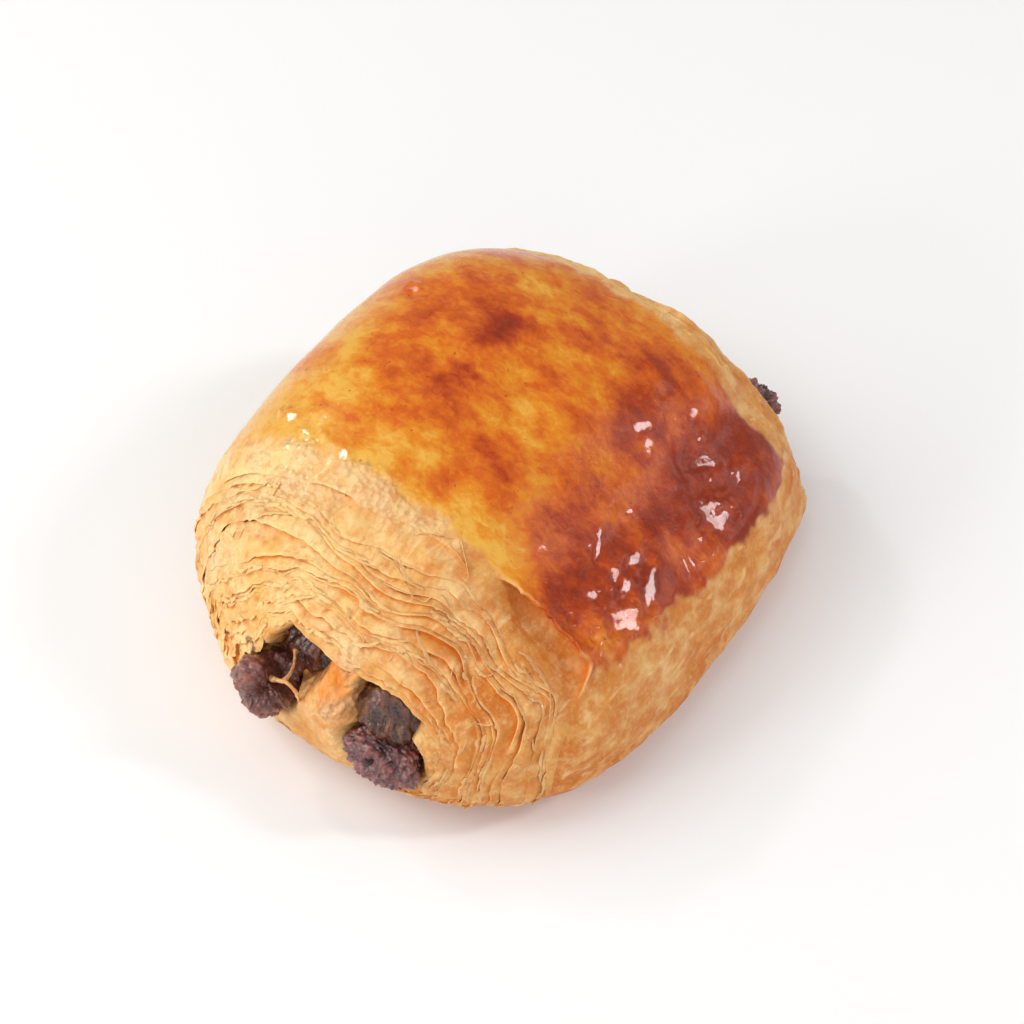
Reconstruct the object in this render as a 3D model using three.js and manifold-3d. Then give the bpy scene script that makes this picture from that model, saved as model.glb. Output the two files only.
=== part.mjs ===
// Pain au chocolat: a rolled laminated pastry with two chocolate sticks that run through it and show at both cut ends.
// Millimetres, +Z up, roll axis along Y, the cut end with the full chocolate lumps at -Y.
import * as THREE from "three";
import { mergeVertices } from "three/addons/utils/BufferGeometryUtils.js";
import Module from "manifold-3d";

// ---- driving sizes, mm ----
const WIDTH = 84.1; // across the roll, before the unevenness
const FRONT_LENGTH = 56.3; // from the middle to the front end
const BACK_LENGTH = 55.8; // from the middle to the back end
const HEIGHT = 47.6; // crown above the tray
const CORE_HEIGHT = 11.3; // height of the roll's core line
const SINK = 2.3; // how much of the round underside the tray presses flat
const ROUND_TOP = 2.67; // superellipse exponents of the cross-section and of the ends
const ROUND_BOTTOM = 2.41;
const END_TOP = 2.46;
const END_SIDE = 2.86;
const END_BOTTOM = 2.4;

const LAYER_STEPS = 10; // layer rims modelled at each cut end
const FRONT_STEP_FIRST = 15, FRONT_STEP_LAST = 69; // degrees from the end's pole to the rims
const BACK_STEP_FIRST = 14, BACK_STEP_LAST = 50;
const STEP_HEIGHT = 0.95; // each rim stands this much above the next layer's foot
const STEP_WIDTH = 1.1; // degrees taken by the riser under a rim
const GLAZE_THICKNESS = 0.35; // the glazed top sheet stands a little proud

const STICK_GAP = 0.3; // clearance between chocolate and dough
const AROUND = 56; // facets round the roll
const STICK_AROUND = 18;

const STICKS = [
  // centre line (front, middle, back) and radii (front lump, inside, back lump), ends of the stick along Y
  { name: "choc_left", x: [-13.6, -13.2, -13.0], z: [17.4, 15.0, 15.0], r: [6.3, 4.3, 4.9], front: -62.6, back: 56.2, seed: 0.7 },
  { name: "choc_right", x: [12.2, 12.6, 16.4], z: [17.0, 15.0, 15.4], r: [7.3, 4.3, 4.8], front: -57.6, back: 57.6, seed: 2.9 },
];
const CAVES = [
  // hollows that baking left above the lumps: centre and half sizes
  { c: [-8.6, -53.0, 22.6], r: [5.6, 6.5, 5.4] },
  { c: [8.8, -53.4, 23.2], r: [6.2, 6.2, 5.2] },
];

// ---- helpers ----
const rad = (d) => (d * Math.PI) / 180;
const spow = (v, p) => Math.sign(v) * Math.pow(Math.abs(v), p);
const smooth = (a, b, v) => {
  const t = Math.min(1, Math.max(0, (v - a) / (b - a)));
  return t * t * (3 - 2 * t);
};

// Unevenness of the baked roll: [harmonic round the roll, order along it, cosine or sine, amount]
const SWELL = [
  [1, 0, 0, -0.124], [1, 0, 1, -0.042], [2, 0, 0, 0.042], [2, 0, 1, -0.107], [3, 0, 0, 0.052], [3, 0, 1, 0.033],
  [4, 0, 0, 0.029], [0, 1, 0, -0.008], [1, 1, 0, 0.033], [1, 1, 1, -0.074], [2, 1, 0, 0.039], [2, 1, 1, 0.085],
  [3, 1, 1, -0.011], [0, 2, 0, -0.029], [1, 2, 1, 0.008], [2, 2, 1, -0.014],
];
// Local swellings and dents: [degrees round, degrees along, widths, amount]
const BUMPS = [
  [70, 140, 22, 12, 0.09], [180, 60, 26, 16, 0.115], [185, 35, 30, 14, 0.019], [340, 140, 20, 14, 0.135],
  [20, 95, 26, 18, -0.064], [130, 100, 24, 20, -0.014], [87, 147, 9, 9, 0.085], [68, 150, 9, 9, -0.05],
];
function swell(th, ta) {
  const y = Math.cos(ta), w = Math.sin(ta);
  const along = [1, y, 1.5 * y * y - 0.5];
  let k = 1;
  for (const [i, j, odd, a] of SWELL) k += a * w * (odd ? Math.sin(i * th) : Math.cos(i * th)) * along[j];
  for (const [t0, a0, wt, wa, a] of BUMPS) {
    const dt = ((((th * 180) / Math.PI - t0 + 540) % 360) + 360) % 360 - 180;
    const da = (ta * 180) / Math.PI - a0;
    k += a * Math.exp(-((dt / wt) ** 2) - (da / wa) ** 2);
  }
  return k;
}

// A point of the smooth roll: th runs round the roll axis from +X over +Z, ta from the front pole to the back pole.
function roll(th, ta) {
  const c = Math.cos(th), s = Math.sin(th);
  const up = Math.max(0, s), dn = Math.max(0, -s);
  const n = s >= 0 ? ROUND_TOP : ROUND_BOTTOM;
  const m = END_SIDE + (END_TOP - END_SIDE) * up ** 1.2 + (END_BOTTOM - END_SIDE) * dn ** 1.2;
  const ct = Math.cos(ta), rho = Math.abs(Math.sin(ta)) ** (2 / m);
  const k = swell(th, ta);
  const x = ((rho * WIDTH) / 2) * spow(c, 2 / n) * k;
  const y = -(ct > 0 ? FRONT_LENGTH : BACK_LENGTH) * spow(ct, 2 / m);
  const z = (s >= 0 ? HEIGHT - CORE_HEIGHT : CORE_HEIGHT + SINK) * spow(s, 2 / n) * rho * k + CORE_HEIGHT;
  return new THREE.Vector3(x, y, z);
}
function normal(th, ta) {
  const e = 0.01;
  const a = roll(th + e, ta).sub(roll(th - e, ta));
  const b = roll(th, ta + e).sub(roll(th, Math.max(0.002, ta - e)));
  return b.cross(a).normalize(); // outward
}

// The rings of the pastry skin, as [degrees along, lift above the smooth roll, waviness phase]
function rings() {
  const out = [];
  const steps = (first, last, sign) => {
    const pitch = (last - first) / (LAYER_STEPS - 1);
    const list = [];
    for (let i = 0; i < LAYER_STEPS; i++) {
      const at = first + i * pitch;
      const h = STEP_HEIGHT * (0.75 + 0.25 * Math.sin(i * 2.1));
      const rim = i === LAYER_STEPS - 1 ? GLAZE_THICKNESS + 0.2 : h / 2;
      list.push([at - STEP_WIDTH / 2, -h / 2, i], [at + STEP_WIDTH / 2, rim, i]);
    }
    return sign > 0 ? list : list.map(([a, h, i]) => [180 - a, h, i + 20]).reverse();
  };
  out.push([4, 0, -1], [9, 0.1, -1]);
  out.push(...steps(FRONT_STEP_FIRST, FRONT_STEP_LAST, 1));
  for (const a of [78, 88, 98, 108, 118, 125]) out.push([a, GLAZE_THICKNESS, -1]);
  out.push(...steps(BACK_STEP_FIRST, BACK_STEP_LAST, -1));
  out.push([171, 0.1, -1], [176, 0, -1]);
  return out;
}

function geometryOf(points, faces) {
  const g = new THREE.BufferGeometry();
  g.setAttribute("position", new THREE.Float32BufferAttribute(points.flatMap((p) => [p.x, p.y, p.z]), 3));
  g.setIndex(faces);
  return g;
}
// Closed skin from rings of equal count and two end points.
function skin(ringsOfPoints, startPoint, endPoint) {
  const n = ringsOfPoints[0].length, pts = [startPoint, ...ringsOfPoints.flat(), endPoint], f = [];
  const last = pts.length - 1, id = (r, i) => 1 + r * n + (i % n);
  for (let i = 0; i < n; i++) f.push(0, id(0, i), id(0, i + 1));
  for (let r = 0; r + 1 < ringsOfPoints.length; r++)
    for (let i = 0; i < n; i++) f.push(id(r, i), id(r + 1, i + 1), id(r, i + 1), id(r, i), id(r + 1, i), id(r + 1, i + 1));
  for (let i = 0; i < n; i++) f.push(last, id(ringsOfPoints.length - 1, i + 1), id(ringsOfPoints.length - 1, i));
  return geometryOf(pts, f);
}

function pastryBody() {
  const all = rings().map(([deg, lift, i]) => {
    const ring = [];
    for (let k = 0; k < AROUND; k++) {
      const th = (2 * Math.PI * k) / AROUND;
      // rims wander and come closer together as they wrap round the core
      const wave = i < 0 ? 0 : 0.9 * Math.sin(3 * th + i * 1.7) + 0.5 * Math.sin(5 * th - i * 2.3);
      const ta = rad(deg + wave);
      const p = roll(th, ta);
      const fade = smooth(0.5, 5, p.z);
      p.addScaledVector(normal(th, ta), lift * fade);
      p.z = Math.max(0, p.z);
      ring.push(p);
    }
    return ring;
  });
  const front = roll(0, 0.0005), back = roll(0, Math.PI - 0.0005);
  return skin(all, new THREE.Vector3(0, front.y, CORE_HEIGHT), new THREE.Vector3(0, back.y, CORE_HEIGHT));
}

// Quadratic through the front, middle and back values at the stick's own stations.
const along3 = (v, t) => v[0] * (1 - t) * (1 - 2 * t) + v[1] * 4 * t * (1 - t) + v[2] * t * (2 * t - 1);
function stickCentre(s, y) {
  const t = Math.min(1, Math.max(0, (y + 58) / 116));
  return [along3(s.x, t), along3(s.z, t)];
}
function stickRadius(s, y) {
  return s.r[1] + (s.r[0] - s.r[1]) * (1 - smooth(-56, -38, y)) + (s.r[2] - s.r[1]) * smooth(38, 52, y);
}
const INNER = [-46, -40, -34, -26, -14, 0, 14, 26, 34, 42, 46];
function tubeRing(s, y, grow, squeeze, bumpy) {
  const [cx, cz] = stickCentre(s, y), ring = [];
  for (let k = 0; k < STICK_AROUND; k++) {
    const a = (2 * Math.PI * k) / STICK_AROUND;
    const lump = bumpy * (0.06 * Math.sin(3 * a + y * 0.8 + s.seed) + 0.05 * Math.sin(5 * a - y * 1.3 + 2 * s.seed));
    const r = stickRadius(s, y) * squeeze * (1 + lump) + grow;
    // along y the rings run with the angle turning from +Z towards +X, so the skin faces out
    ring.push(new THREE.Vector3(cx + 1.04 * r * Math.cos(a), y, cz + 0.96 * r * Math.sin(a)));
  }
  return ring;
}
function stickBody(s) {
  const cap = [0.45, 0.72, 0.9, 1]; // cap profile of a lumpy rounded end
  const list = [];
  const depth = (q, d) => d * (1 - Math.sqrt(1 - q * q));
  const df = s.r[0] * 0.85, db = s.r[2] * 0.8;
  for (const q of cap) list.push(tubeRing(s, s.front + depth(q, df), 0, q, 1));
  list.push(tubeRing(s, (s.front + df - 46) / 2, 0, 1, 0.8));
  for (const y of INNER) list.push(tubeRing(s, y, 0, 1, 0));
  list.push(tubeRing(s, (s.back - db + 46) / 2, 0, 1, 0.8));
  for (const q of [...cap].reverse()) list.push(tubeRing(s, s.back - depth(q, db), 0, q, 1));
  const [fx, fz] = stickCentre(s, s.front), [bx, bz] = stickCentre(s, s.back);
  return skin(list, new THREE.Vector3(fx, s.front, fz), new THREE.Vector3(bx, s.back, bz));
}
function tunnelBody(s) {
  const list = [tubeRing(s, -72, 1.3, 1, 0), tubeRing(s, -50, 1.2, 1, 0)];
  for (const y of INNER) list.push(tubeRing(s, y, STICK_GAP + 0.05, 1, 0));
  list.push(tubeRing(s, 50, 0.9, 1, 0), tubeRing(s, 72, 0.9, 1, 0));
  const [fx, fz] = stickCentre(s, -72), [bx, bz] = stickCentre(s, 72);
  return skin(list, new THREE.Vector3(fx, -72, fz), new THREE.Vector3(bx, 72, bz));
}

// ---- joins and cuts ----
const wasm = await Module();
wasm.setup();
function solid(geometry) {
  const g = geometry.clone();
  g.deleteAttribute("normal");
  g.deleteAttribute("uv");
  const m = mergeVertices(g, 1e-4);
  return new wasm.Manifold(
    new wasm.Mesh({ numProp: 3, vertProperties: new Float32Array(m.attributes.position.array), triVerts: new Uint32Array(m.index.array) }),
  );
}
function geometryFrom(manifold) {
  const mesh = manifold.getMesh(), g = new THREE.BufferGeometry();
  const pos = new Float32Array((mesh.vertProperties.length / mesh.numProp) * 3);
  for (let i = 0; i < pos.length / 3; i++)
    for (let j = 0; j < 3; j++) pos[3 * i + j] = mesh.vertProperties[mesh.numProp * i + j];
  g.setAttribute("position", new THREE.BufferAttribute(pos, 3));
  g.setIndex(new THREE.BufferAttribute(new Uint32Array(mesh.triVerts), 1));
  return g;
}

let pastry = solid(pastryBody());
for (const cave of CAVES) {
  const ball = new THREE.SphereGeometry(1, 14, 9);
  ball.scale(...cave.r);
  ball.translate(...cave.c);
  pastry = pastry.subtract(solid(ball));
}
for (const s of STICKS) pastry = pastry.subtract(solid(tunnelBody(s)));

const parts = [
  ["pastry", geometryFrom(pastry), { color: 0xd9a04c, roughness: 0.55, metalness: 0 }],
  ...STICKS.map((s) => [s.name, stickBody(s), { color: 0x4a2a22, roughness: 0.42, metalness: 0 }]),
];

// The part's frame: middle of the whole in X and Y, tray height at Z 0.
const box = new THREE.Box3();
for (const [, g] of parts) box.union(new THREE.Box3().setFromBufferAttribute(g.attributes.position));
const group = new THREE.Group();
group.name = "pain_au_chocolat";
for (const [name, g, look] of parts) {
  g.translate(-(box.min.x + box.max.x) / 2, -(box.min.y + box.max.y) / 2, -box.min.z);
  const flat = g.toNonIndexed();
  flat.computeVertexNormals();
  const mesh = new THREE.Mesh(flat, new THREE.MeshStandardMaterial({ ...look, name }));
  mesh.name = name;
  group.add(mesh);
}

export default group;
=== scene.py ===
import math
import bpy
import numpy as np
from mathutils import Matrix, Vector


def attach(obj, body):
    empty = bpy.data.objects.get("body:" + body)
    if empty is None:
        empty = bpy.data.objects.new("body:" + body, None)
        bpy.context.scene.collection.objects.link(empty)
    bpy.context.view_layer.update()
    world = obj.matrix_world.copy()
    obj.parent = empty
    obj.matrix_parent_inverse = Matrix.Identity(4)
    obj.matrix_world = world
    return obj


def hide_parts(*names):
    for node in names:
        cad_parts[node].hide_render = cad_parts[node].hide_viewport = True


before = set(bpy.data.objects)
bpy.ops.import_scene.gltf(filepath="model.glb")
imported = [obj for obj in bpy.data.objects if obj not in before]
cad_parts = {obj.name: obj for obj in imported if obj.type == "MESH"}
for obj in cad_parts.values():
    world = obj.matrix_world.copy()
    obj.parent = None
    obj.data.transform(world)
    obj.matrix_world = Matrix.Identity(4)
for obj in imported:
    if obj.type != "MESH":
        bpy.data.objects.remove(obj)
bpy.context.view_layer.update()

MM = 0.001
PI = math.pi

# ---------------------------------------------------------------- sizes, mm (as in the solid model)
WIDTH, FRONT_LENGTH, BACK_LENGTH, HEIGHT = 84.1, 56.3, 55.8, 47.6
CORE_HEIGHT, SINK = 11.3, 2.3
ROUND_TOP, ROUND_BOTTOM, END_TOP, END_SIDE, END_BOTTOM = 2.67, 2.41, 2.46, 2.86, 2.4
SHIFT = np.array([3.7733, 2.5, 0.0])
SWELL = [
    (1, 0, 0, -0.124), (1, 0, 1, -0.042), (2, 0, 0, 0.042), (2, 0, 1, -0.107), (3, 0, 0, 0.052), (3, 0, 1, 0.033),
    (4, 0, 0, 0.029), (0, 1, 0, -0.008), (1, 1, 0, 0.033), (1, 1, 1, -0.074), (2, 1, 0, 0.039), (2, 1, 1, 0.085),
    (3, 1, 1, -0.011), (0, 2, 0, -0.029), (1, 2, 1, 0.008), (2, 2, 1, -0.014),
]
BUMPS = [
    (70, 140, 22, 12, 0.09), (180, 60, 26, 16, 0.115), (185, 35, 30, 14, 0.019), (340, 140, 20, 14, 0.135),
    (20, 95, 26, 18, -0.064), (130, 100, 24, 20, -0.014), (87, 147, 9, 9, 0.085), (68, 150, 9, 9, -0.05),
]


def spow(v, p):
    return np.sign(v) * np.abs(v) ** p


def sstep(a, b, v):
    t = np.clip((v - a) / (b - a), 0, 1)
    return t * t * (3 - 2 * t)


def swell(th, ta):
    y, w = np.cos(ta), np.sin(ta)
    along = (1.0, y, 1.5 * y * y - 0.5)
    k = np.ones_like(w * th)
    for i, j, odd, a in SWELL:
        k = k + a * w * (np.sin(i * th) if odd else np.cos(i * th)) * along[j]
    td, ad = np.degrees(th), np.degrees(ta)
    for t0, a0, wt, wa, a in BUMPS:
        dt = (td - t0 + 180) % 360 - 180
        k = k + a * np.exp(-((dt / wt) ** 2) - ((ad - a0) / wa) ** 2)
    return k


def roll(th, ta):
    """Point of the smooth roll in mm: th round the axis from +X over +Z, ta from the front pole to the back pole."""
    c, s = np.cos(th), np.sin(th)
    up, dn = np.clip(s, 0, 1), np.clip(-s, 0, 1)
    n = np.where(s >= 0, ROUND_TOP, ROUND_BOTTOM)
    m = END_SIDE + (END_TOP - END_SIDE) * up ** 1.2 + (END_BOTTOM - END_SIDE) * dn ** 1.2
    ct = np.cos(ta)
    rho = np.abs(np.sin(ta)) ** (2 / m)
    k = swell(th, ta)
    x = rho * WIDTH / 2 * spow(c, 2 / n) * k
    y = -np.where(ct > 0, FRONT_LENGTH, BACK_LENGTH) * spow(ct, 2 / m)
    z = np.where(s >= 0, HEIGHT - CORE_HEIGHT, CORE_HEIGHT + SINK) * spow(s, 2 / n) * rho * k + CORE_HEIGHT
    return np.stack(np.broadcast_arrays(x, y, z), -1)


def roll_normal(th, ta):
    e = 0.012
    a = roll(th + e, ta) - roll(th - e, ta)
    b = roll(th, np.minimum(ta + e, PI - 0.002)) - roll(th, np.maximum(ta - e, 0.002))
    n = np.cross(b, a)
    return n / (np.linalg.norm(n, axis=-1, keepdims=True) + 1e-12)


# ---------------------------------------------------------------- noise
GRAD = np.array([(1, 1, 0), (-1, 1, 0), (1, -1, 0), (-1, -1, 0), (1, 0, 1), (-1, 0, 1), (1, 0, -1), (-1, 0, -1),
                 (0, 1, 1), (0, -1, 1), (0, 1, -1), (0, -1, -1), (1, 1, 0), (-1, 1, 0), (0, -1, 1), (0, -1, -1)], float)


def hash3(ix, iy, iz, seed):
    h = (ix * 374761393 + iy * 668265263 + iz * 1440662683 + seed * 974711 + 12345) & 0xFFFFFFFF
    h = ((h ^ (h >> 13)) * 1274126177) & 0xFFFFFFFF
    h = ((h ^ (h >> 16)) * 2246822519) & 0xFFFFFFFF
    return h ^ (h >> 15)


def pnoise(P, size, seed=0):
    """Gradient noise in about -1..1 with features of the given size."""
    Q = np.asarray(P, float) / size
    F = np.floor(Q)
    I = F.astype(np.int64)
    f = Q - F
    w = f * f * f * (f * (f * 6 - 15) + 10)
    out = 0.0
    for dx in (0, 1):
        wx = w[..., 0] if dx else 1 - w[..., 0]
        for dy in (0, 1):
            wy = w[..., 1] if dy else 1 - w[..., 1]
            for dz in (0, 1):
                wz = w[..., 2] if dz else 1 - w[..., 2]
                g = GRAD[hash3(I[..., 0] + dx, I[..., 1] + dy, I[..., 2] + dz, seed) & 15]
                d = g[..., 0] * (f[..., 0] - dx) + g[..., 1] * (f[..., 1] - dy) + g[..., 2] * (f[..., 2] - dz)
                out = out + wx * wy * wz * d
    return out * 1.35


def fbm(P, size, octaves=3, seed=0, gain=0.5):
    a, out, tot = 1.0, 0.0, 0.0
    for o in range(octaves):
        out = out + a * pnoise(P, size / 2 ** o, seed + 17 * o)
        tot += a
        a *= gain
    return out / tot


def cells(P, size, seed):
    """Distance to the nearest of scattered points, about 0..1."""
    Q = P / size
    I = np.floor(Q).astype(np.int64)
    f = Q - I
    best = np.full(P.shape[:-1], 9.0)
    for dx in (-1, 0, 1):
        for dy in (-1, 0, 1):
            for dz in (-1, 0, 1):
                h = hash3(I[..., 0] + dx, I[..., 1] + dy, I[..., 2] + dz, seed)
                c = np.stack([(h & 1023) / 1023.0, ((h >> 10) & 1023) / 1023.0, ((h >> 20) & 1023) / 1023.0], -1)
                d = np.linalg.norm(c + np.array([dx, dy, dz]) - f, axis=-1)
                best = np.minimum(best, d)
    return best


def rnd(*key):
    h = 0
    for i, k in enumerate(key):
        h = int(hash3(np.int64(int(k) & 0xFFFFFF), np.int64(i * 7 + 1), np.int64(h & 0xFFFFFF), 5))
    return (h & 0xFFFFFF) / float(0x1000000)


# ---------------------------------------------------------------- columns round the roll, evenly spaced along the skin
def columns(n, dense=1.7):
    th = np.linspace(0, 2 * PI, 24001)
    P = roll(th, np.full_like(th, math.radians(68)))
    P[:, 2] = np.maximum(P[:, 2], -1)
    seg = np.linalg.norm(np.diff(P, axis=0), axis=1)
    mid = np.degrees((th[1:] + th[:-1]) / 2)
    a = (mid + 180) % 360 - 180
    w = np.where(mid > 195, 0.45 + (dense - 0.45) * np.maximum(sstep(-55, -25, a), 1 - sstep(195, 215, mid)), dense)
    cum = np.concatenate([[0], np.cumsum(seg * w)])
    return np.interp(np.linspace(0, cum[-1], n + 1)[:-1], cum, th)


def mesh_rows(name, P, attrs=None, close=True, cap_first=False, cap_last=False, flip=False):
    """A mesh from rows of points (rows, columns, 3) in mm."""
    R, C = P.shape[:2]
    verts = (P.reshape(-1, 3) + SHIFT) * MM
    i = np.arange(R - 1)[:, None]
    j = np.arange(C if close else C - 1)[None, :]
    j2 = (j + 1) % C
    q = np.stack([i * C + j, (i + 1) * C + j, (i + 1) * C + j2, i * C + j2], -1).reshape(-1, 4)
    if flip:
        q = q[:, ::-1]
    me = bpy.data.meshes.new(name)
    faces = q
    nv = len(verts)
    extra = []
    if cap_first:
        verts = np.vstack([verts, verts[:C].mean(0)])
        extra += [[nv, a, (a + 1) % C] for a in range(C)]
        nv += 1
    if cap_last:
        verts = np.vstack([verts, verts[(R - 1) * C:R * C].mean(0)])
        b = (R - 1) * C
        extra += [[nv, b + (a + 1) % C, b + a] for a in range(C)]
        nv += 1
    if flip:
        extra = [e[::-1] for e in extra]
    loops = np.concatenate([faces.reshape(-1), np.array(extra, int).reshape(-1)]) if extra else faces.reshape(-1)
    tot = np.concatenate([np.full(len(faces), 4), np.full(len(extra), 3)]).astype(np.int32)
    start = np.concatenate([[0], np.cumsum(tot)[:-1]]).astype(np.int32)
    me.vertices.add(nv)
    me.vertices.foreach_set("co", verts.astype(np.float32).reshape(-1))
    me.loops.add(len(loops))
    me.loops.foreach_set("vertex_index", loops.astype(np.int32))
    me.polygons.add(len(tot))
    me.polygons.foreach_set("loop_start", start)
    me.polygons.foreach_set("loop_total", tot)
    me.polygons.foreach_set("use_smooth", np.ones(len(tot), bool))
    for k, v in (attrs or {}).items():
        vals = np.broadcast_to(v, (R, C)).reshape(-1).astype(np.float32)
        if nv > len(vals):
            vals = np.concatenate([vals, np.full(nv - len(vals), vals[-1] if cap_last else vals[0], np.float32)])
        me.attributes.new(k, "FLOAT", "POINT").data.foreach_set("value", vals)
    me.update(calc_edges=True)
    me.validate()
    ob = bpy.data.objects.new(name, me)
    bpy.context.collection.objects.link(ob)
    return ob


def place(th, ta_deg, lift):
    """Points at these angles, lifted off the smooth roll, with the underside pressed flat."""
    ta = np.radians(ta_deg)
    P = roll(th, ta)
    N = roll_normal(th, ta)
    fade = sstep(0.2, 4.5, P[..., 2])
    P = P + N * (lift * (0.12 + 0.88 * fade))[..., None]
    P[..., 2] = np.maximum(P[..., 2], 0)
    return P


# ---------------------------------------------------------------- the view that features are laid out in
AZ, EL, DIST = math.radians(36.375), math.radians(48.127), 515.2
VF = np.array([-math.sin(AZ) * math.cos(EL), math.cos(AZ) * math.cos(EL), -math.sin(EL)])
VR = np.array([math.cos(AZ), math.sin(AZ), 0.0])
VU = np.cross(VR, VF)
AIM = np.array([-3.0713, 1.840, 18.4])
EYE = AIM - VF * DIST


def frame_xy(P):
    """Where a point of the roll lies in the 1024 frame, used to lay out folds, blisters and browning."""
    d = P - EYE
    zc = d @ VF
    return 512 + 2800 * (d @ VR) / zc, 512 - 2800 * (d @ VU) / zc


def blob(px, py, cx, cy, rx, ry, turn=0.0, power=2.0):
    a = math.radians(turn)
    dx, dy = px - cx, py - cy
    u = (dx * math.cos(a) + dy * math.sin(a)) / rx
    v = (-dx * math.sin(a) + dy * math.cos(a)) / ry
    return np.exp(-(u * u + v * v) ** (power / 2))


def ridge(px, py, pts, width):
    """1 on the line through the points, falling off over width."""
    best = np.full(px.shape, 1e9)
    for (x0, y0), (x1, y1) in zip(pts[:-1], pts[1:]):
        dx, dy = x1 - x0, y1 - y0
        t = np.clip(((px - x0) * dx + (py - y0) * dy) / (dx * dx + dy * dy), 0, 1)
        best = np.minimum(best, np.hypot(px - x0 - t * dx, py - y0 - t * dy))
    return np.exp(-((best / width) ** 2))


# ================================================================ layered ends
# Places where the layers part more widely or lie closed: degrees round, spread, layer, spread, wider gap, more open
PARTED = [
    (28, 30, 8.6, 0.6, 1.7, 0.0), (30, 24, 9.6, 0.7, 0.0, 1.7), (128, 14, 7.4, 0.8, 0.9, 0.0), (126, 11, 8.4, 0.8, 0.0, 1.6),
    (30, 30, 14.0, 0.7, 1.3, -0.3), (92, 40, 14.0, 0.8, 0.9, -0.1), (96, 40, 13.0, 0.8, 0.6, 0.0), (118, 20, 12.0, 0.9, 0.4, 0.6),
    (150, 20, 13.5, 1.2, 0.6, 0.3), (160, 18, 10.0, 0.9, 0.6, 0.6), (72, 14, 11.0, 0.9, 0.4, 0.7), (60, 18, 5.5, 0.8, 0.6, 0.6),
    (92, 18, 6.0, 0.8, 0.6, 0.5), (108, 14, 2.6, 0.8, 0.4, 0.8), (14, 16, 5.0, 0.8, 0.5, 0.8), (48, 16, 12.0, 0.8, 0.2, 0.9),
    (75, 12, 8.5, 0.7, 0.5, 0.6), (38, 16, 3.0, 0.8, 0.5, 0.8), (100, 10, 10.0, 0.7, 0.4, 0.8),
]


def parted(th, k):
    a = angle_of(th)
    a = np.where(a < -90, a + 360, a)
    g, o = np.zeros_like(a), np.zeros_like(a)
    for t0, dt, k0, dk, gg, oo in PARTED:
        w = np.exp(-(((a - t0) / dt) ** 2) - ((k - k0) / dk) ** 2)
        g, o = g + gg * w, o + oo * w
    return g, o


def angle_of(th):
    return (np.degrees(th) + 180) % 360 - 180  # -180..180, 90 on top


def end_rims(th, K, inner, outer, seed, warp=1.0):
    """Rim angles (K+1, columns) from the innermost rim to the outermost one, wandering, pinching and opening."""
    P0 = roll(th, np.full_like(th, math.radians(48)))
    gaps = []
    for k in range(K):
        Q = P0 + np.array([0, 9.0 * k, 31.7 * k])
        n = fbm(Q, 34, 2, seed + 3) * 0.85 + fbm(Q, 11, 2, seed + 5) * 0.16
        g = np.exp(2.3 * n + (parted(th, k)[0] if K > 12 else 0)) * (0.5 + 1.0 * rnd(seed, k, 1))
        gaps.append(g)
    gaps = np.array(gaps)
    gaps = gaps / gaps.sum(0, keepdims=True) * (outer - inner)[None]
    rims = np.concatenate([inner[None], inner[None] + np.cumsum(gaps, 0)])
    for k in range(K):
        Q = P0 + np.array([13.0 * k, 0, 17.3 * k])
        torn = np.clip(0.35 + 1.6 * fbm(Q, 22, 2, seed + 10), 0.1, 1.5)  # clean in places, torn in others
        rag = fbm(Q, 7.0, 2, seed + 7) * 0.50 + torn * (pnoise(Q, 2.4, seed + 8) * 0.50 + pnoise(Q, 1.0, seed + 9) * 0.36)
        w = warp * sstep(0, 1.5, gaps[k]) * (0.45 if k == 0 else 1.0)
        rims[k] = rims[k] + rag * w
    for k in range(1, K + 1):
        rims[k] = np.maximum(rims[k], rims[k - 1] + 0.14)
    return rims


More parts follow.
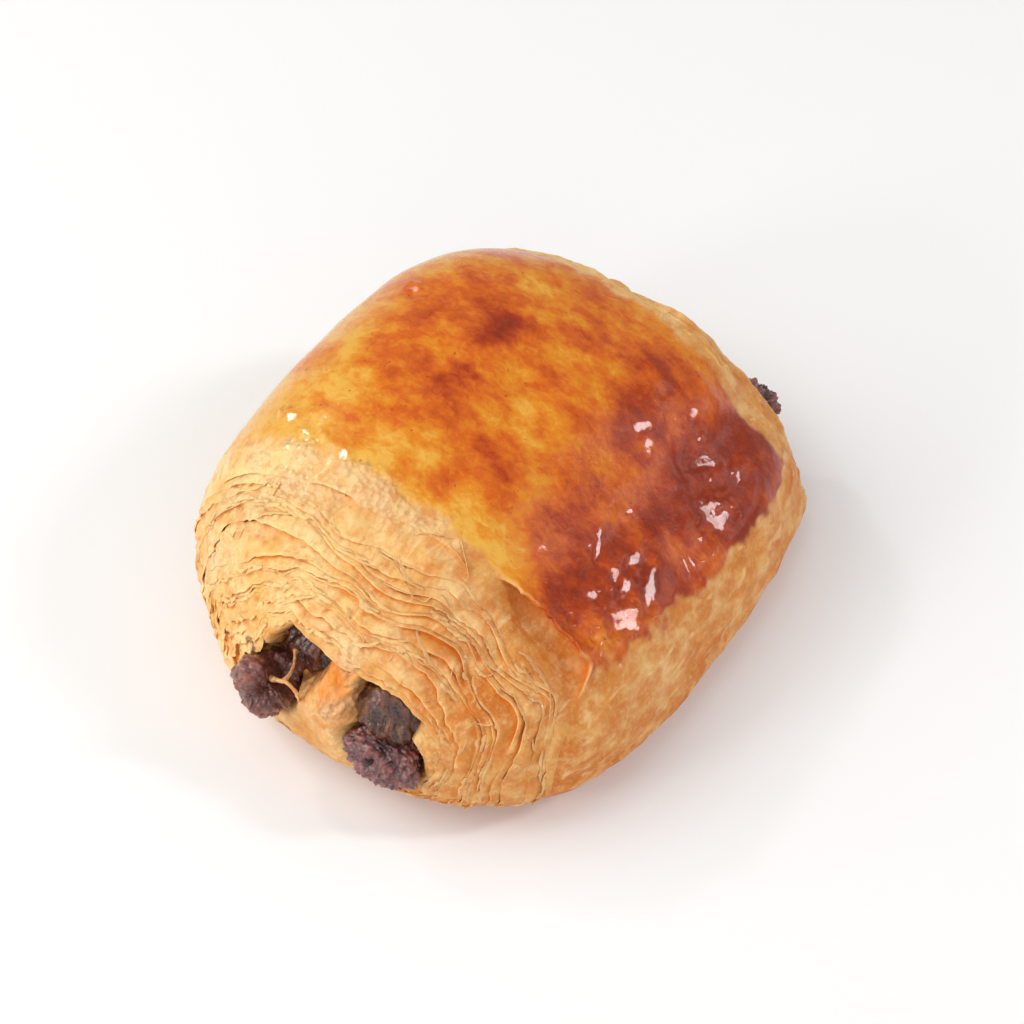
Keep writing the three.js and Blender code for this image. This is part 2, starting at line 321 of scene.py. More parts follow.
def end_bands(th, rims, k0, k1, seed, mirror, thick=0.26, lift_gain=1.0, tail=0.0, drop=0.0, surf=10):
    """Rows for layers k0..k1-1. Each layer: the crevice under its own rim, round the rim, back along its upper face
    and down into the crevice under the next rim. A layer that lies closed runs on smoothly into its neighbour.
    Returns angles (deg), lifts (mm) and attributes."""
    NC = len(th)
    T, L, RIM, CREVICE_SHADE, LAY = [], [], [], [], []
    P0 = roll(th, np.full_like(th, math.radians(48)))

    def facts(k):
        g = rims[min(k + 1, len(rims) - 1)] - rims[k]
        g0 = rims[k] - rims[max(k - 1, 0)]
        Q = P0 + np.array([7.0 * k, 3.0 * k, 23.0 * k])
        n1 = fbm(Q, 8, 2, seed + 21)
        n2 = fbm(Q, 4.0, 2, seed + 23)
        n3 = pnoise(Q, 1.3, seed + 25)
        ref = np.clip(0.5 * (g + g0), 0.25, 3.0)
        n0 = fbm(Q, 24, 2, seed + 27)
        open_ = 0.10 + 1.2 * n0 + 1.8 * n1 + 0.55 * n2  # how far this rim stands open here
        if not mirror:
            open_ = open_ + parted(th, k)[1]
            open_ = open_ * (1 - 0.6 * sstep(138, 155, AF) * sstep(6, 10, k))
            open_ = open_ * (1 - 0.75 * (1 - sstep(4, 20, AF)) * sstep(7, 10, k) * (AF > -60))
        open_ = np.clip(open_, 0.0, 1.8)
        soft = 1 - (0.35 * sstep(95, 130, AF) + 0.30 * (1 - sstep(35, 70, AF)) if not mirror else 0)
        h = (0.035 + 0.20 * ref * np.clip(open_, 0, 1.5) * soft) * lift_gain
        h = h + 0.08 * n3 * np.clip(open_ * 2, 0.25, 1)
        uc = open_ * np.clip(ref, 0.15, 2.2) * 0.24
        d = 0.015 + 0.06 * ref * np.clip(open_, 0.0, 1.4) * lift_gain
        zb = roll(th, np.radians(180 - rims[k] if mirror else rims[k]))[..., 2]
        return g, h, uc * sstep(0.2, 5.0, zb), d, n2, open_

    for k in range(k0, k1):
        g, h, uc, d, n2, op = facts(k)
        gn, hn, ucn, dn, _, opn = facts(min(k + 1, len(rims) - 1))
        if k + 1 == len(rims) - 1:
            dn = dn + drop
            ucn = ucn + 1.2 * drop
        tk = thick * (0.75 + 0.5 * np.clip(n2, -1, 1)) * (0.12 + 0.88 * np.clip(1.6 * op, 0, 1))
        show = np.clip(0.15 + 1.3 * op, 0, 1)
        r = rims[k]
        nxt = rims[min(k + 1, len(rims) - 1)]
        # under the rim
        T += [r + uc, r + 0.55 * uc, r + 0.10, r - 0.06, r + 0.05]
        L += [-d, -d * 0.3 + (h - tk) * 0.45, h - tk, h - 0.5 * tk, h]
        # The rim rows get a paler edge, partly the thin sheet's own paler colour and partly painted highlight; the
        # crevice rows under the rim carry painted shade.
        RIM += [0 * r, 0 * r, 0.55 * show, show, 0.9 * show]
        CREVICE_SHADE += [show, 0.8 * show, 0.35 * show, 0 * r, 0 * r]
        LAY += [k + 0 * r] * 5
        # along the upper face, past the next rim's edge and into its crevice
        Q = P0 + np.array([5.0 * k, 11.0, 29.0 * k])
        pw = np.exp(0.8 * fbm(Q, 12, 2, seed + 31) + 0.15)
        puff = 0.10 * np.clip(g, 0, 5) * np.clip(0.4 + 1.6 * fbm(Q, 9, 2, seed + 33), 0, 1.2)
        end = nxt + ucn
        shn = np.clip(0.10 + 1.3 * opn, 0, 1)
        for i in range(1, surf):
            s = (i / surf) ** 0.9
            t = r + 0.05 + (end - r - 0.05) * s
            sv = np.clip((t - r) / np.maximum(nxt - r, 0.05), 0, 1.3)
            lift = h - (h + dn) * np.clip(sv, 0, 1) ** pw + puff * np.sin(PI * np.clip(sv, 0, 1)) ** 1.3
            lift = np.where(sv > 1, -dn, lift)
            edge = np.exp(-((t - r) / 0.28))
            T.append(t)
            L.append(lift)
            # Pale band just behind the rim, partly painted highlight; painted shade grows towards the next crevice,
            # more under a higher next rim.
            RIM.append(0.85 * edge * show)
            CREVICE_SHADE.append(sstep(0.60, 1.02, sv) * np.clip(0.30 + 0.5 * hn / 0.6, 0, 1) * shn)
            LAY.append(k + 0 * r)
    # closing row under the next rim, in full painted shade
    T.append(rims[min(k1, len(rims) - 1)] + 0.9 * facts(min(k1, len(rims) - 1))[2] + tail)
    L.append(-facts(min(k1, len(rims) - 1))[3] - 0.05 - 0.3 * tail - (drop if k1 >= len(rims) - 1 else 0.0))
    RIM.append(np.zeros(NC)); CREVICE_SHADE.append(np.ones(NC)); LAY.append(np.full(NC, k1 - 1.0))
    return [np.array(a) for a in (T, L, RIM, CREVICE_SHADE, LAY)]


def round_coords(th, T, along, across):
    """Coordinates that run round the roll and along it, for noise drawn out round the roll."""
    Pc = roll(th, np.full_like(th, math.radians(50)))
    seg = np.linalg.norm(np.diff(np.vstack([Pc, Pc[:1]]), axis=0), axis=1)
    sl = np.concatenate([[0], np.cumsum(seg)])
    R = sl[-1] / (2 * PI)
    ph = sl[:-1] / R
    cx = np.broadcast_to(R * np.cos(ph) / along, T.shape)
    cy = np.broadcast_to(R * np.sin(ph) / along, T.shape)
    return np.stack([cx, cy, 0.85 * T / across], -1)


def fibres(th, T, P, LAY, seed):
    """Fine ridges of stretched gluten and thin sheets, -1..1, running round the roll."""
    wv = 1.6 * fbm(P, 8, 2, seed) + 0.5 * fbm(P, 3, 1, seed + 1)
    C = round_coords(th, T + wv, 3.6, 0.95) + np.stack([0 * T, 0 * T, 5.3 * LAY], -1)
    a = 1 - 2.4 * np.abs(pnoise(C, 1.0, seed + 2))
    C = round_coords(th, T + 1.3 * wv, 2.2, 0.55) + np.stack([0 * T, 0 * T, 3.1 * LAY], -1)
    b = 1 - 2.4 * np.abs(pnoise(C, 1.0, seed + 3))
    return 0.65 * a + 0.35 * b


def shared(P):
    """Broad unevenness that neighbouring pieces share, so that they meet without a step."""
    return 0.36 * fbm(P, 8.5, 2, 823)


def relief(P, seed, amount):
    """Fine unevenness of baked dough, mm."""
    return amount * (0.55 * fbm(P, 3.2, 2, seed) + 0.45 * fbm(P, 1.1, 2, seed + 2))


# ---------------------------------------------------------------- edges of the glazed outer sheet
def outer_front(th):
    """Front rim of the outermost sheet, degrees along."""
    a = angle_of(th)
    a = np.where(a < -90, a + 360, a)  # -90..270
    xs = [-90, -40, -20, 0, 8, 16, 24, 34, 60, 78, 92, 110, 130, 150, 180, 220, 270]
    ys = [47, 48, 49.5, 52, 55, 61, 69.5, 70.5, 70, 69, 66, 63, 62, 61, 58, 50, 47]
    t = np.interp(a, xs, ys)
    return t


def inner_front(th):
    a = angle_of(th)
    a = np.where(a < -90, a + 360, a)
    xs = [-90, -40, -10, 5, 18, 30, 45, 60, 75, 90, 100, 114, 126, 140, 155, 175, 220, 270]
    ys = [13, 14, 17, 20, 25, 27.5, 29, 30, 28.5, 27, 28, 31, 27.5, 22, 20.5, 20, 15, 13]
    return np.interp(a, xs, ys)


def wrap_smooth(v, n=9):
    k = np.hanning(n + 2)[1:-1]
    k /= k.sum()
    return np.convolve(np.concatenate([v[-n:], v, v[:n]]), k, "same")[n:-n]


NCF = 860
TH = columns(NCF)
KF = 15
OUT_F = wrap_smooth(outer_front(TH), 21)
IN_F = wrap_smooth(inner_front(TH), 15)
P_IN = roll(TH, np.radians(IN_F))
IN_F = IN_F + 1.7 * fbm(P_IN, 4.5, 2, 141) + (0.15 + 0.45 * sstep(95, 115, np.where(angle_of(TH) < -90, 0, angle_of(TH)))) * pnoise(P_IN, 1.3, 143)
RIMS = end_rims(TH, KF, IN_F, OUT_F, 101)
AF = np.where(angle_of(TH) < -90, angle_of(TH) + 360, angle_of(TH))
LIP_F = sstep(18, 27, AF) * (1 - sstep(54, 74, AF))
pieces = {}


def toast_of(P, Q, seed):
    """Darker baked skin low down where the dough met the tray."""
    return np.clip((1 - sstep(0.0, 9.0, P[..., 2])) * 0.95 + (0.15 + 0.35 * fbm(Q, 7, 2, seed)) * (1 - sstep(4, 20, P[..., 2])), 0, 1)


def warm_of(P, Q, seed):
    """More orange dough towards the low side and the middle of the cut end, paler on the high side."""
    return np.clip(0.58 * sstep(-22, 22, P[..., 0]) + 0.28 * fbm(Q, 16, 2, seed) * (1 - 0.5 * sstep(10, -20, P[..., 0])), 0, 0.9)


def wet_and_sheen_of(P):
    """How much the dough shines: buttery near the glaze, high on the left and between the lumps; the same mask paints a
    pale pinkish sheen into the colour.
    """
    px, py = frame_xy(P)
    w = blob(px, py, 290, 480, 75, 55, -20, 3) + blob(px, py, 390, 500, 80, 34, 15, 3) + 0.9 * blob(px, py, 335, 685, 36, 32, 30, 3)
    w = w + 0.5 * blob(px, py, 335, 682, 34, 26, 30, 4) + 0.6 * blob(px, py, 340, 640, 40, 14, 35, 3) + 0.5 * blob(px, py, 215, 560, 22, 70, 10, 3)
    return np.clip(w, 0, 1) * np.clip(0.6 + 1.3 * fbm(P, 6, 2, 33), 0, 1)


def crumbs_of(P):
    """Crumbs and smears of chocolate on the dough beside the left lump."""
    px, py = frame_xy(P)
    w = blob(px, py, 227, 633, 3, 2.2, 0, 4) + blob(px, py, 250, 640, 5, 3, 30, 4) + blob(px, py, 253, 650, 3, 7, 0, 4) + blob(px, py, 240, 652, 3, 3, 0, 4)
    return np.clip(w * np.clip(0.7 + 1.5 * pnoise(P, 0.9, 37), 0, 1.4), 0, 1)


FT, FL = [], []
for b, (k0, k1) in enumerate([(0, 5), (5, 10), (10, 15)]):
    T, L, RIM, CREVICE_SHADE, LAY = end_bands(TH, RIMS, k0, k1, 301, False, tail=3.0 if k1 == KF else 0.0, drop=1.2 * LIP_F)
    th2 = np.broadcast_to(TH, T.shape)
    P = roll(th2, np.radians(T))
    Q = P + np.stack([0 * T, 6.0 * LAY, 0 * T], -1)
    fb = fibres(TH, T, P, LAY, 811)
    rough_ = np.clip(0.35 + 1.4 * fbm(P, 15, 2, 821), 0.1, 1.0)
    inside = sstep(0.0, 2.0, OUT_F[None] - T)
    bowl = np.exp(-(((T - (OUT_F[None] - 2.2)) / 3.4) ** 2)) * np.broadcast_to(LIP_F, T.shape)
    wild = np.broadcast_to(0.85 + 0.95 * sstep(85, 125, AF), T.shape)
    high = sstep(100, 128, AF)[None] * sstep(0.0, 3.0, OUT_F[None] - T)
    L = L + high * (1.3 * np.abs(fbm(P * np.array([0.8, 1, 1]), 11, 2, 75)) + 0.5 * np.abs(fbm(P, 5, 2, 76)) - 0.25)
    L = L + shared(P) + wild * (0.30 * fbm(Q, 5.5, 2, 70) + 0.26 * fbm(Q, 2.8, 2, 71) + 0.12 * pnoise(Q, 1.2, 72)) * (1 - 0.5 * RIM) * inside
    L = L + 0.17 * (fb - 0.3) * rough_ * (1 - 0.7 * RIM) * (1 - CREVICE_SHADE) * inside - 1.9 * bowl
    FT.append(T)
    FL.append(L)
    P = place(th2, T, L)
    pieces[f"front_layers_{b + 1}"] = mesh_rows(f"front_layers_{b + 1}", P, {
        # Paler rim edges and fibre crests, partly the dough's own paler edges and partly painted highlight; darker
        # orange in crevices and fibre troughs is painted shade.
        "rim": np.clip(RIM + 0.45 * np.clip(fb - 0.45, 0, 1) * rough_, 0, 1), "crevice_shade_and_orange": np.clip(CREVICE_SHADE + 0.30 * np.clip(-fb, 0, 1) * rough_, 0, 1),
        # Darker toast low down where the dough met the tray, and the orange side tone, are the dough's own colour; the
        # bowl under the glaze lip and the recess at the lower right are darkened with painted shade.
        "glaze": 0 * T, "brown": 0 * T, "toast_and_shade": toast_of(P, Q, 5) + warm_of(P, Q, 15) + 0.22 * bowl + 0.40 * blob(*frame_xy(P), 480, 700, 20, 42, -18, 3),
        "smear": crumbs_of(P), "wet_and_sheen": wet_and_sheen_of(P)})
FT, FL = np.concatenate(FT), np.concatenate(FL)

# ---------------------------------------------------------------- front core: dough round and between the lumps
LUMP_L, LUMP_R = np.array([-13.6, 17.4]), np.array([12.2, 17.0])
rows = 60
u = np.linspace(0, 1, rows)[:, None]
T = 0.5 + (IN_F[None] + 6.0 - 0.5) * u ** 0.85
th2 = np.broadcast_to(TH, T.shape)
P = roll(th2, np.radians(T))
x, z = P[..., 0], P[..., 2]


def well(cx, cz, rx, rz, p, depth, lean=0.0):
    q = np.hypot((x - cx - lean * (z - cz)) / rx, (z - cz) / rz)
    return depth * np.exp(-q ** p)


D = np.maximum.reduce([
    well(-9.0, 25.0, 5.5, 6.2, 5, 9.5, 0.42), well(9.6, 24.4, 5.8, 5.6, 4, 9.0),
    well(-13.6, 18.6, 5.8, 5.6, 6, 5.5), well(10.8, 16.4, 7.4, 6.0, 6, 5.5)])
D = D - 1.5 * np.exp(-(((x - 0.8) / 5.2) ** 2 + ((z - 21.5) / 5.5) ** 2)) - 0.8 * np.exp(-(((x - 0.5) / 4.5) ** 2 + ((z - 12) / 4.5) ** 2))
under = sstep(0.0, 1.0, (T - IN_F[None]) / 1.6)
core_fb = fibres(TH, T, P, 0 * T, 97)
strip = blob(*frame_xy(P), 335, 682, 36, 32, 30, 3)
lift = relief(P, 91, 0.3) + 0.45 * fbm(P, 5, 2, 95) + 0.34 * core_fb * (1 - strip) * sstep(7, 15, T) - 1.3 * under
lift = lift + strip * (2.4 * np.clip(0.6 - cells(P, 2.0, 98), 0, 1) + 0.9 * np.clip(0.55 - cells(P, 1.1, 99), 0, 1) + 0.6 * fbm(P, 3.0, 2, 90))
lift = lift * (1 - sstep(0, 3, D) * 0.4)
Q = place(th2, T, lift)
Q[..., 1] += D * (1 - 0.0 * under) * sstep(0.5, 3.5, z)
smear = (0.55 * sstep(0.5, 2.2, D + 1.0 * fbm(P, 2.6, 3, 97)) + 0.45 * sstep(2.5, 5.0, D + 1.3 * fbm(P, 2.6, 3, 99))) * (z > 9)
pieces["front_core"] = mesh_rows("front_core", Q, {
    # Painted shade: darker orange down the wells round the lumps, under the innermost rim and in fibre troughs; between
    # the lumps that orange is the dough's own tone. Paler fibre crests are partly painted highlight.
    "rim": 0.6 * np.clip(core_fb - 0.25, 0, 1) * (1 - strip), "crevice_shade_and_orange": sstep(2.5, 7, D) * 0.6 + 0.6 * under * (D < 1) + 0.5 * np.clip(-core_fb, 0, 1) + 0.85 * strip * np.clip(0.7 + 1.2 * fbm(P, 2.6, 2, 94), 0, 1.2), "glaze": 0 * T, "brown": 0 * T,
    "toast_and_shade": toast_of(Q, P, 6) + 0.28 + 0.5 * warm_of(P, P, 17), "smear": smear, "wet_and_sheen": np.clip(wet_and_sheen_of(P) + 0.8 * smear, 0, 1)}, cap_first=True, flip=False)

# ---------------------------------------------------------------- back end, finished like the front
NCB = 440
THB = columns(NCB, 1.0)


def outer_back(th):
    a = angle_of(th)
    a = np.where(a < -90, a + 360, a)
    xs = [-90, -40, -10, 10, 30, 60, 90, 120, 150, 180, 220, 270]
    ys = [40, 41, 43, 47, 49, 47, 45, 47, 48, 47, 43, 40]
    return np.interp(a, xs, ys)


KB = 9
OUT_B = wrap_smooth(outer_back(THB), 21)
IN_B = wrap_smooth(np.interp(np.where(angle_of(THB) < -90, angle_of(THB) + 360, angle_of(THB)),
                             [-90, 0, 30, 90, 150, 180, 270], [13, 18, 22, 22, 22, 18, 13]), 15)
RIMB = end_rims(THB, KB, IN_B, OUT_B, 177)
T, L, RIM, CREVICE_SHADE, LAY = end_bands(THB, RIMB, 0, KB, 401, True, tail=3.0, surf=7)
th2 = np.broadcast_to(THB, T.shape)
P = roll(th2, np.radians(180 - T))
Q = P + np.stack([0 * T, 6.0 * LAY, 0 * T], -1)
fb = fibres(THB, T, P, LAY, 841)
L = L + (0.34 * fbm(P, 8.5, 2, 843) + 0.20 * fbm(Q, 3.2, 2, 73)) * (1 - 0.5 * RIM) + 0.12 * (fb - 0.3) * (1 - 0.7 * RIM) * (1 - CREVICE_SHADE)
P = place(th2, 180 - T, L)
pieces["back_layers"] = mesh_rows("back_layers", P, {
    "rim": RIM, "crevice_shade_and_orange": CREVICE_SHADE, "glaze": 0 * T, "brown": 0 * T, "toast_and_shade": toast_of(P, Q, 7) + warm_of(P, Q, 18), "smear": 0 * T, "wet_and_sheen": 0 * T}, flip=True)
rows = 36
u = np.linspace(0, 1, rows)[:, None]
T = 0.5 + (IN_B[None] + 6.0 - 0.5) * u ** 0.85
th2 = np.broadcast_to(THB, T.shape)
P = roll(th2, np.radians(180 - T))
x, z = P[..., 0], P[..., 2]
D = np.maximum.reduce([
    well(-13.0, 15.0, 5.6, 5.6, 6, 4.0), well(16.3, 15.2, 5.4, 5.4, 6, 4.0),
    well(-10.5, 20.5, 4.0, 3.2, 4, 4.5), well(13.5, 20.5, 4.0, 3.2, 4, 4.5)])
under = sstep(0.0, 1.0, (T - IN_B[None]) / 1.6)
lift = relief(P, 93, 0.3) + 0.35 * fbm(P, 5, 2, 96) - 1.3 * under
Q = place(th2, 180 - T, lift)
Q[..., 1] -= D * sstep(0.5, 3.5, z)
smear = sstep(1.2, 3.0, D + 1.2 * fbm(P, 2.6, 3, 98)) * (z > 6)
pieces["back_core"] = mesh_rows("back_core", Q, {
    # Painted shade: darker orange down the wells and under the innermost rim.
    "rim": 0 * T, "crevice_shade_and_orange": sstep(2.0, 5, D) * 0.6 + 0.6 * under * (D < 1), "glaze": 0 * T, "brown": 0 * T,
    "toast_and_shade": toast_of(Q, P, 8) + 0.5 * warm_of(P, P, 19), "smear": smear, "wet_and_sheen": 0.8 * smear}, cap_first=True, flip=True)

# ---------------------------------------------------------------- the outer sheet with its glaze
NCM = 610
THM = columns(NCM, 1.6)
TF = np.interp(THM, np.append(TH, TH[0] + 2 * PI), np.append(RIMS[KF], RIMS[KF][0]))
TB = 180 - np.interp(THM, np.append(THB, THB[0] + 2 * PI), np.append(RIMB[KB], RIMB[KB][0]))
AM = angle_of(THM)
A2 = np.where(AM < -90, AM + 360, AM)
P0 = roll(THM, np.full_like(THM, math.radians(68)))
lip = sstep(18, 27, A2) * (1 - sstep(54, 74, A2))
zf = sstep(0.2, 5.0, roll(THM, np.radians(TF))[..., 2])
nf = fbm(P0, 9, 2, 501)
ajar = np.clip(1.8 * fbm(P0, 14, 2, 507) - 0.05, 0, 0.8) * sstep(60, 80, A2) * (1 - sstep(185, 205, A2))
hF = 0.05 + 0.5 * ajar + (1.6 + 0.5 * pnoise(P0, 2.2, 508)) * lip
tkF = 0.04 + 0.25 * ajar + (1.35 + 0.5 * pnoise(P0, 2.2, 508)) * lip
ucF = (0.15 + 1.0 * ajar + 2.0 * lip) * zf
show_f = np.clip(0.12 + 1.2 * ajar + lip, 0, 1)
TF2 = TF + (fbm(P0, 4.0, 2, 503) * 0.8 + pnoise(P0, 1.5, 504) * 0.55 + pnoise(P0, 0.8, 506) * 0.25) * (0.25 + 0.75 * lip)
hB = 0.5 + 0.25 * fbm(P0, 9, 2, 505)
tkB = 0.4
ucB = 0.9 * sstep(0.2, 5.0, roll(THM, np.radians(TB))[..., 2])
one = np.ones(NCM)
# Rows round the front rim of the outer sheet: a paler edge, partly painted highlight, and painted shade in the crevice
# under the lip.
T, L, RIM, CREVICE_SHADE = [], [], [], []
for dt, lf, rm, dp, dtc, lfc in [(ucF + 0.4 * lip, -0.25 - 0.65 * show_f - 3.0 * lip, 0, 1, -1.4, -0.42), (ucF, -0.10 - 0.6 * show_f, 0, 1, -1.3, -0.30), (0.75 * ucF, -0.06 - 0.3 * show_f + 0.2 * (hF - tkF), 0, 0.9, -1.0, -0.12),
                                 (0.4 * ucF, (hF - tkF) * 0.8, 0.1, 0.6, -0.75, -0.03), (0.10 * one, hF - tkF, 0.8, 0.25, -0.5, 0.02), (-0.05 * one, hF - 0.75 * tkF, 1, 0, -0.25, 0.04),
                                 (-0.08 * one, hF - 0.35 * tkF, 1, 0, -0.05, 0.05), (0.06 * one, hF, 0.9, 0, 0.15, 0.06)]:
    sh = sstep(0.12, 0.5, show_f)
    T.append(TF2 + dt * sh + dtc * (1 - sh)); L.append(lf * sh + lfc * (1 - sh)); RIM.append(rm * sh); CREVICE_SHADE.append(dp * sh)
MIDROWS = 150
yF = roll(THM, np.radians(TF2 + 0.06))[..., 1]
yB = roll(THM, np.radians(TB))[..., 1]
# rows evenly spaced between the two rims, by angle with the middle stretched out
tt = np.radians(np.linspace(30, 150, 4801))
for i in range(1, MIDROWS + 1):
    s_ = i / (MIDROWS + 1)
    # even spacing along the roll: invert y(ta) per column
    y_ = yF + (yB - yF) * s_
    c_, sn = np.cos(THM), np.sin(THM)
    up_, dn_ = np.clip(sn, 0, 1), np.clip(-sn, 0, 1)
    m_ = END_SIDE + (END_TOP - END_SIDE) * up_ ** 1.2 + (END_BOTTOM - END_SIDE) * dn_ ** 1.2
    Lx = np.where(y_ < 0, FRONT_LENGTH, BACK_LENGTH)
    ct_ = -np.sign(y_) * (np.abs(y_) / Lx) ** (m_ / 2)
    t_ = np.degrees(np.arccos(np.clip(ct_, -1, 1)))
    T.append(t_)
    sF, sB = t_ - TF2, TB - t_
    L.append(0.30 + (hF - 0.30) * np.exp(-sF / 3.2) + (hB - 0.30) * np.exp(-sB / 3.0))
    RIM.append(0.8 * np.exp(-sF / 0.3) * show_f + 0.8 * np.exp(-sB / 0.3)); CREVICE_SHADE.append(0 * one)
# Rows round the back rim: a paler edge, partly painted highlight, and painted shade in the crevice under it.
for dt, lf, rm, dp in [(0.06 * one, hB, 0.9, 0), (-0.08 * one, hB - 0.5 * tkB, 1, 0), (0.10 * one, hB - tkB, 0.6, 0.3),
                       (0.5 * ucB, (hB - tkB) * 0.4, 0, 0.8), (ucB, -0.45 * one, 0, 1)]:
    T.append(TB - dt * 1.0); L.append(lf); RIM.append(rm * one); CREVICE_SHADE.append(dp * one)
T, L, RIM, CREVICE_SHADE = [np.array(a) for a in (T, L, RIM, CREVICE_SHADE)]
th2 = np.broadcast_to(THM, T.shape)
A = np.broadcast_to(A2, T.shape)
P = roll(th2, np.radians(T))
sF = T - TF2[None]
sB = TB[None] - T

# where the egg glaze was brushed
g_right = np.interp(T, [60, 71, 79, 90, 102, 128, 140], [26, 22.5, 21, 16, 12.5, 14, 18])
rag = 1.6 * fbm(P, 7, 3, 601) + 0.7 * fbm(P, 2.2, 2, 603)
soft_r = 1 + 1.4 * (1 - sstep(92, 104, T))
m_right = sstep(-0.9, 0.9, (A - g_right) / soft_r + 1.6 * rag)
m_left = sstep(-2.5, 2.5, (158 - A) + 3.0 * rag)
m_front = sstep(-1.2, 1.2, (T - 69.3) + 1.5 * rag + 2.8 * np.broadcast_to(lip, T.shape) - 3.4 * np.exp(-np.abs(T - TF2[None]) / 0.6))
m_back = sstep(-1.4, 1.4, (127.5 - T) + 1.6 * rag + 4.5 * np.exp(-((A - 92) / 30) ** 2))
GL = m_right * m_left * m_front * m_back * (CREVICE_SHADE < 0.2)

# broad swells, small waves and blisters
PX, PY = frame_xy(P)
seen = (A > -20) & (A < 175)
slope = (1 - sstep(45, 78, A)) * sstep(5, 20, A)  # the low side, where the glaze is thick and wavy
w1 = fbm(P, 17, 2, 611) * 0.50
w2 = fbm(P, 9.5, 2, 613) * (0.08 + 0.12 * slope)
w3 = pnoise(P, 3.0, 615) * (0.012 + 0.015 * slope)
FOLDS = [  # raised folds and troughs of the wrinkled glaze: line, width, height
    ([(652, 372), (650, 420), (664, 462), (690, 516), (716, 556)], 12, 0.42), ([(690, 388), (716, 420), (746, 452), (758, 500), (738, 534), (706, 560)], 12, 0.42),
    ([(676, 392), (690, 440), (708, 500)], 14, -0.22), ([(704, 408), (728, 450), (736, 500)], 14, -0.20), ([(626, 520), (642, 560), (640, 610)], 12, -0.20),
    ([(606, 528), (612, 570), (604, 612)], 10, 0.20), ([(655, 540), (668, 580), (676, 606)], 10, 0.22), ([(580, 560), (576, 610)], 10, 0.15),
    ([(640, 470), (610, 500), (590, 540)], 13, 0.30), ([(560, 470), (590, 460), (630, 440)], 13, -0.2), ([(683, 528), (690, 560), (700, 580)], 7, 0.35),
]
FLATS = [  # small flat places that catch the light: centre, half sizes, turn, which light
    (576, 633, 14, 10, 30, 0), (623, 588, 7, 20, 12, 0), (626, 620, 19, 15, -15, 0), (633, 560, 6, 15, 30, 0), (597, 546, 4, 18, 4, 0), (649, 590, 6, 26, 8, 0),
    (598, 664, 4, 13, 0, 0), (614, 576, 5, 9, -10, 0), (702, 463, 12, 7, 0, 0), (714, 513, 16, 18, -20, 0), (737, 478, 3, 9, 0, 0), (592, 596, 10, 7, 0, 0),
    (345, 455, 9, 6, 25, 1), (362, 464, 6, 5, 25, 1), (291, 417, 7, 7, 0, 1), (283, 451, 9, 5, 10, 1), (307, 434, 5, 5, 0, 1), (414, 291, 7, 5, 0, 1), (324, 437, 4, 4, 0, 1),
]
LIGHT_AT = np.array([0.654, 0.38, 0.654])
GLINT_AT = np.array([-0.76, 0.0, 0.65])
folds = 0
for pts, wd, hh in FOLDS:
    folds = folds + hh * ridge(PX + 3 * fbm(P, 5, 2, 631) * 2, PY + 3 * fbm(P, 5, 2, 633) * 2, pts, wd)
BLISTERS = [(598, 640, 6), (612, 585, 5), (604, 668, 4), (716, 512, 5), (730, 500, 4), (724, 518, 3.5), (708, 466, 4), (592, 604, 4), (640, 632, 5), (620, 556, 4), (700, 440, 4), (735, 470, 4)]
blis = 0
for cx, cy, rr_ in BLISTERS:
    blis = blis + 0.22 * blob(PX, PY, cx, cy, rr_ * 1.6, rr_ * 1.6, 0, 4)
near = np.clip(blob(PX, PY, 610, 610, 42, 55) + blob(PX, PY, 718, 500, 26, 42) + 0.6 * blob(PX, PY, 700, 440, 30, 30), 0, 1)
near = np.clip(blob(PX, PY, 288, 437, 26, 10) + blob(PX, PY, 352, 458, 22, 10) + blob(PX, PY, 412, 292, 14, 8) + blob(PX, PY, 240, 400, 14, 30) + blob(PX, PY, 600, 588, 12, 9) + blob(PX, PY, 604, 640, 14, 10) + blob(PX, PY, 718, 514, 13, 13) + 0.5 * blob(PX, PY, 640, 560, 30, 30) + 0.5 * blob(PX, PY, 700, 440, 22, 12) + 0.6 * blob(PX, PY, 645, 592, 12, 30), 0, 1)
dots = near * np.clip(0.42 - cells(P, 1.3, 641), 0, 1) * 0.40
P_N = roll_normal(th2, np.radians(T))
flats = []
flat_w = 0 * T
for cx, cy, rx, ry, tn, which in FLATS:
    to_light = GLINT_AT if which else LIGHT_AT
    wob = 0.55 * fbm(P, 3.2, 2, 661) + 0.45 * pnoise(P, 1.3, 663)
    c = np.unravel_index(np.argmin(np.hypot(PX - cx, PY - cy) + 1e6 * ~seen), PX.shape)
    wgt = blob(PX, PY, cx, cy, rx * (1.25 + wob), ry * (1.25 + wob), tn, 5) * seen * (np.linalg.norm(P - P[c], axis=-1) < 9)
    wgt = wgt * (1 - np.exp(-np.clip(sF, 0, 99) / 0.7)) * (CREVICE_SHADE < 0.2)
    v = EYE - P[c]
    hv = v / np.linalg.norm(v) + to_light / np.linalg.norm(to_light)
    hv /= np.linalg.norm(hv)
    flats.append((c, hv, wgt))
    flat_w = np.maximum(flat_w, wgt)
fbs = fibres(THM, T * 1.0, P, 0 * T, 681)
left_side = sstep(120, 150, A) * (A < 215)
body_bumps = (0.50 * fbm(P * np.array([1, 0.55, 1]), 5.5, 3, 617) + 0.26 * fbm(P * np.array([1, 0.5, 1]), 2.2, 3, 619)) * (1 - GL)
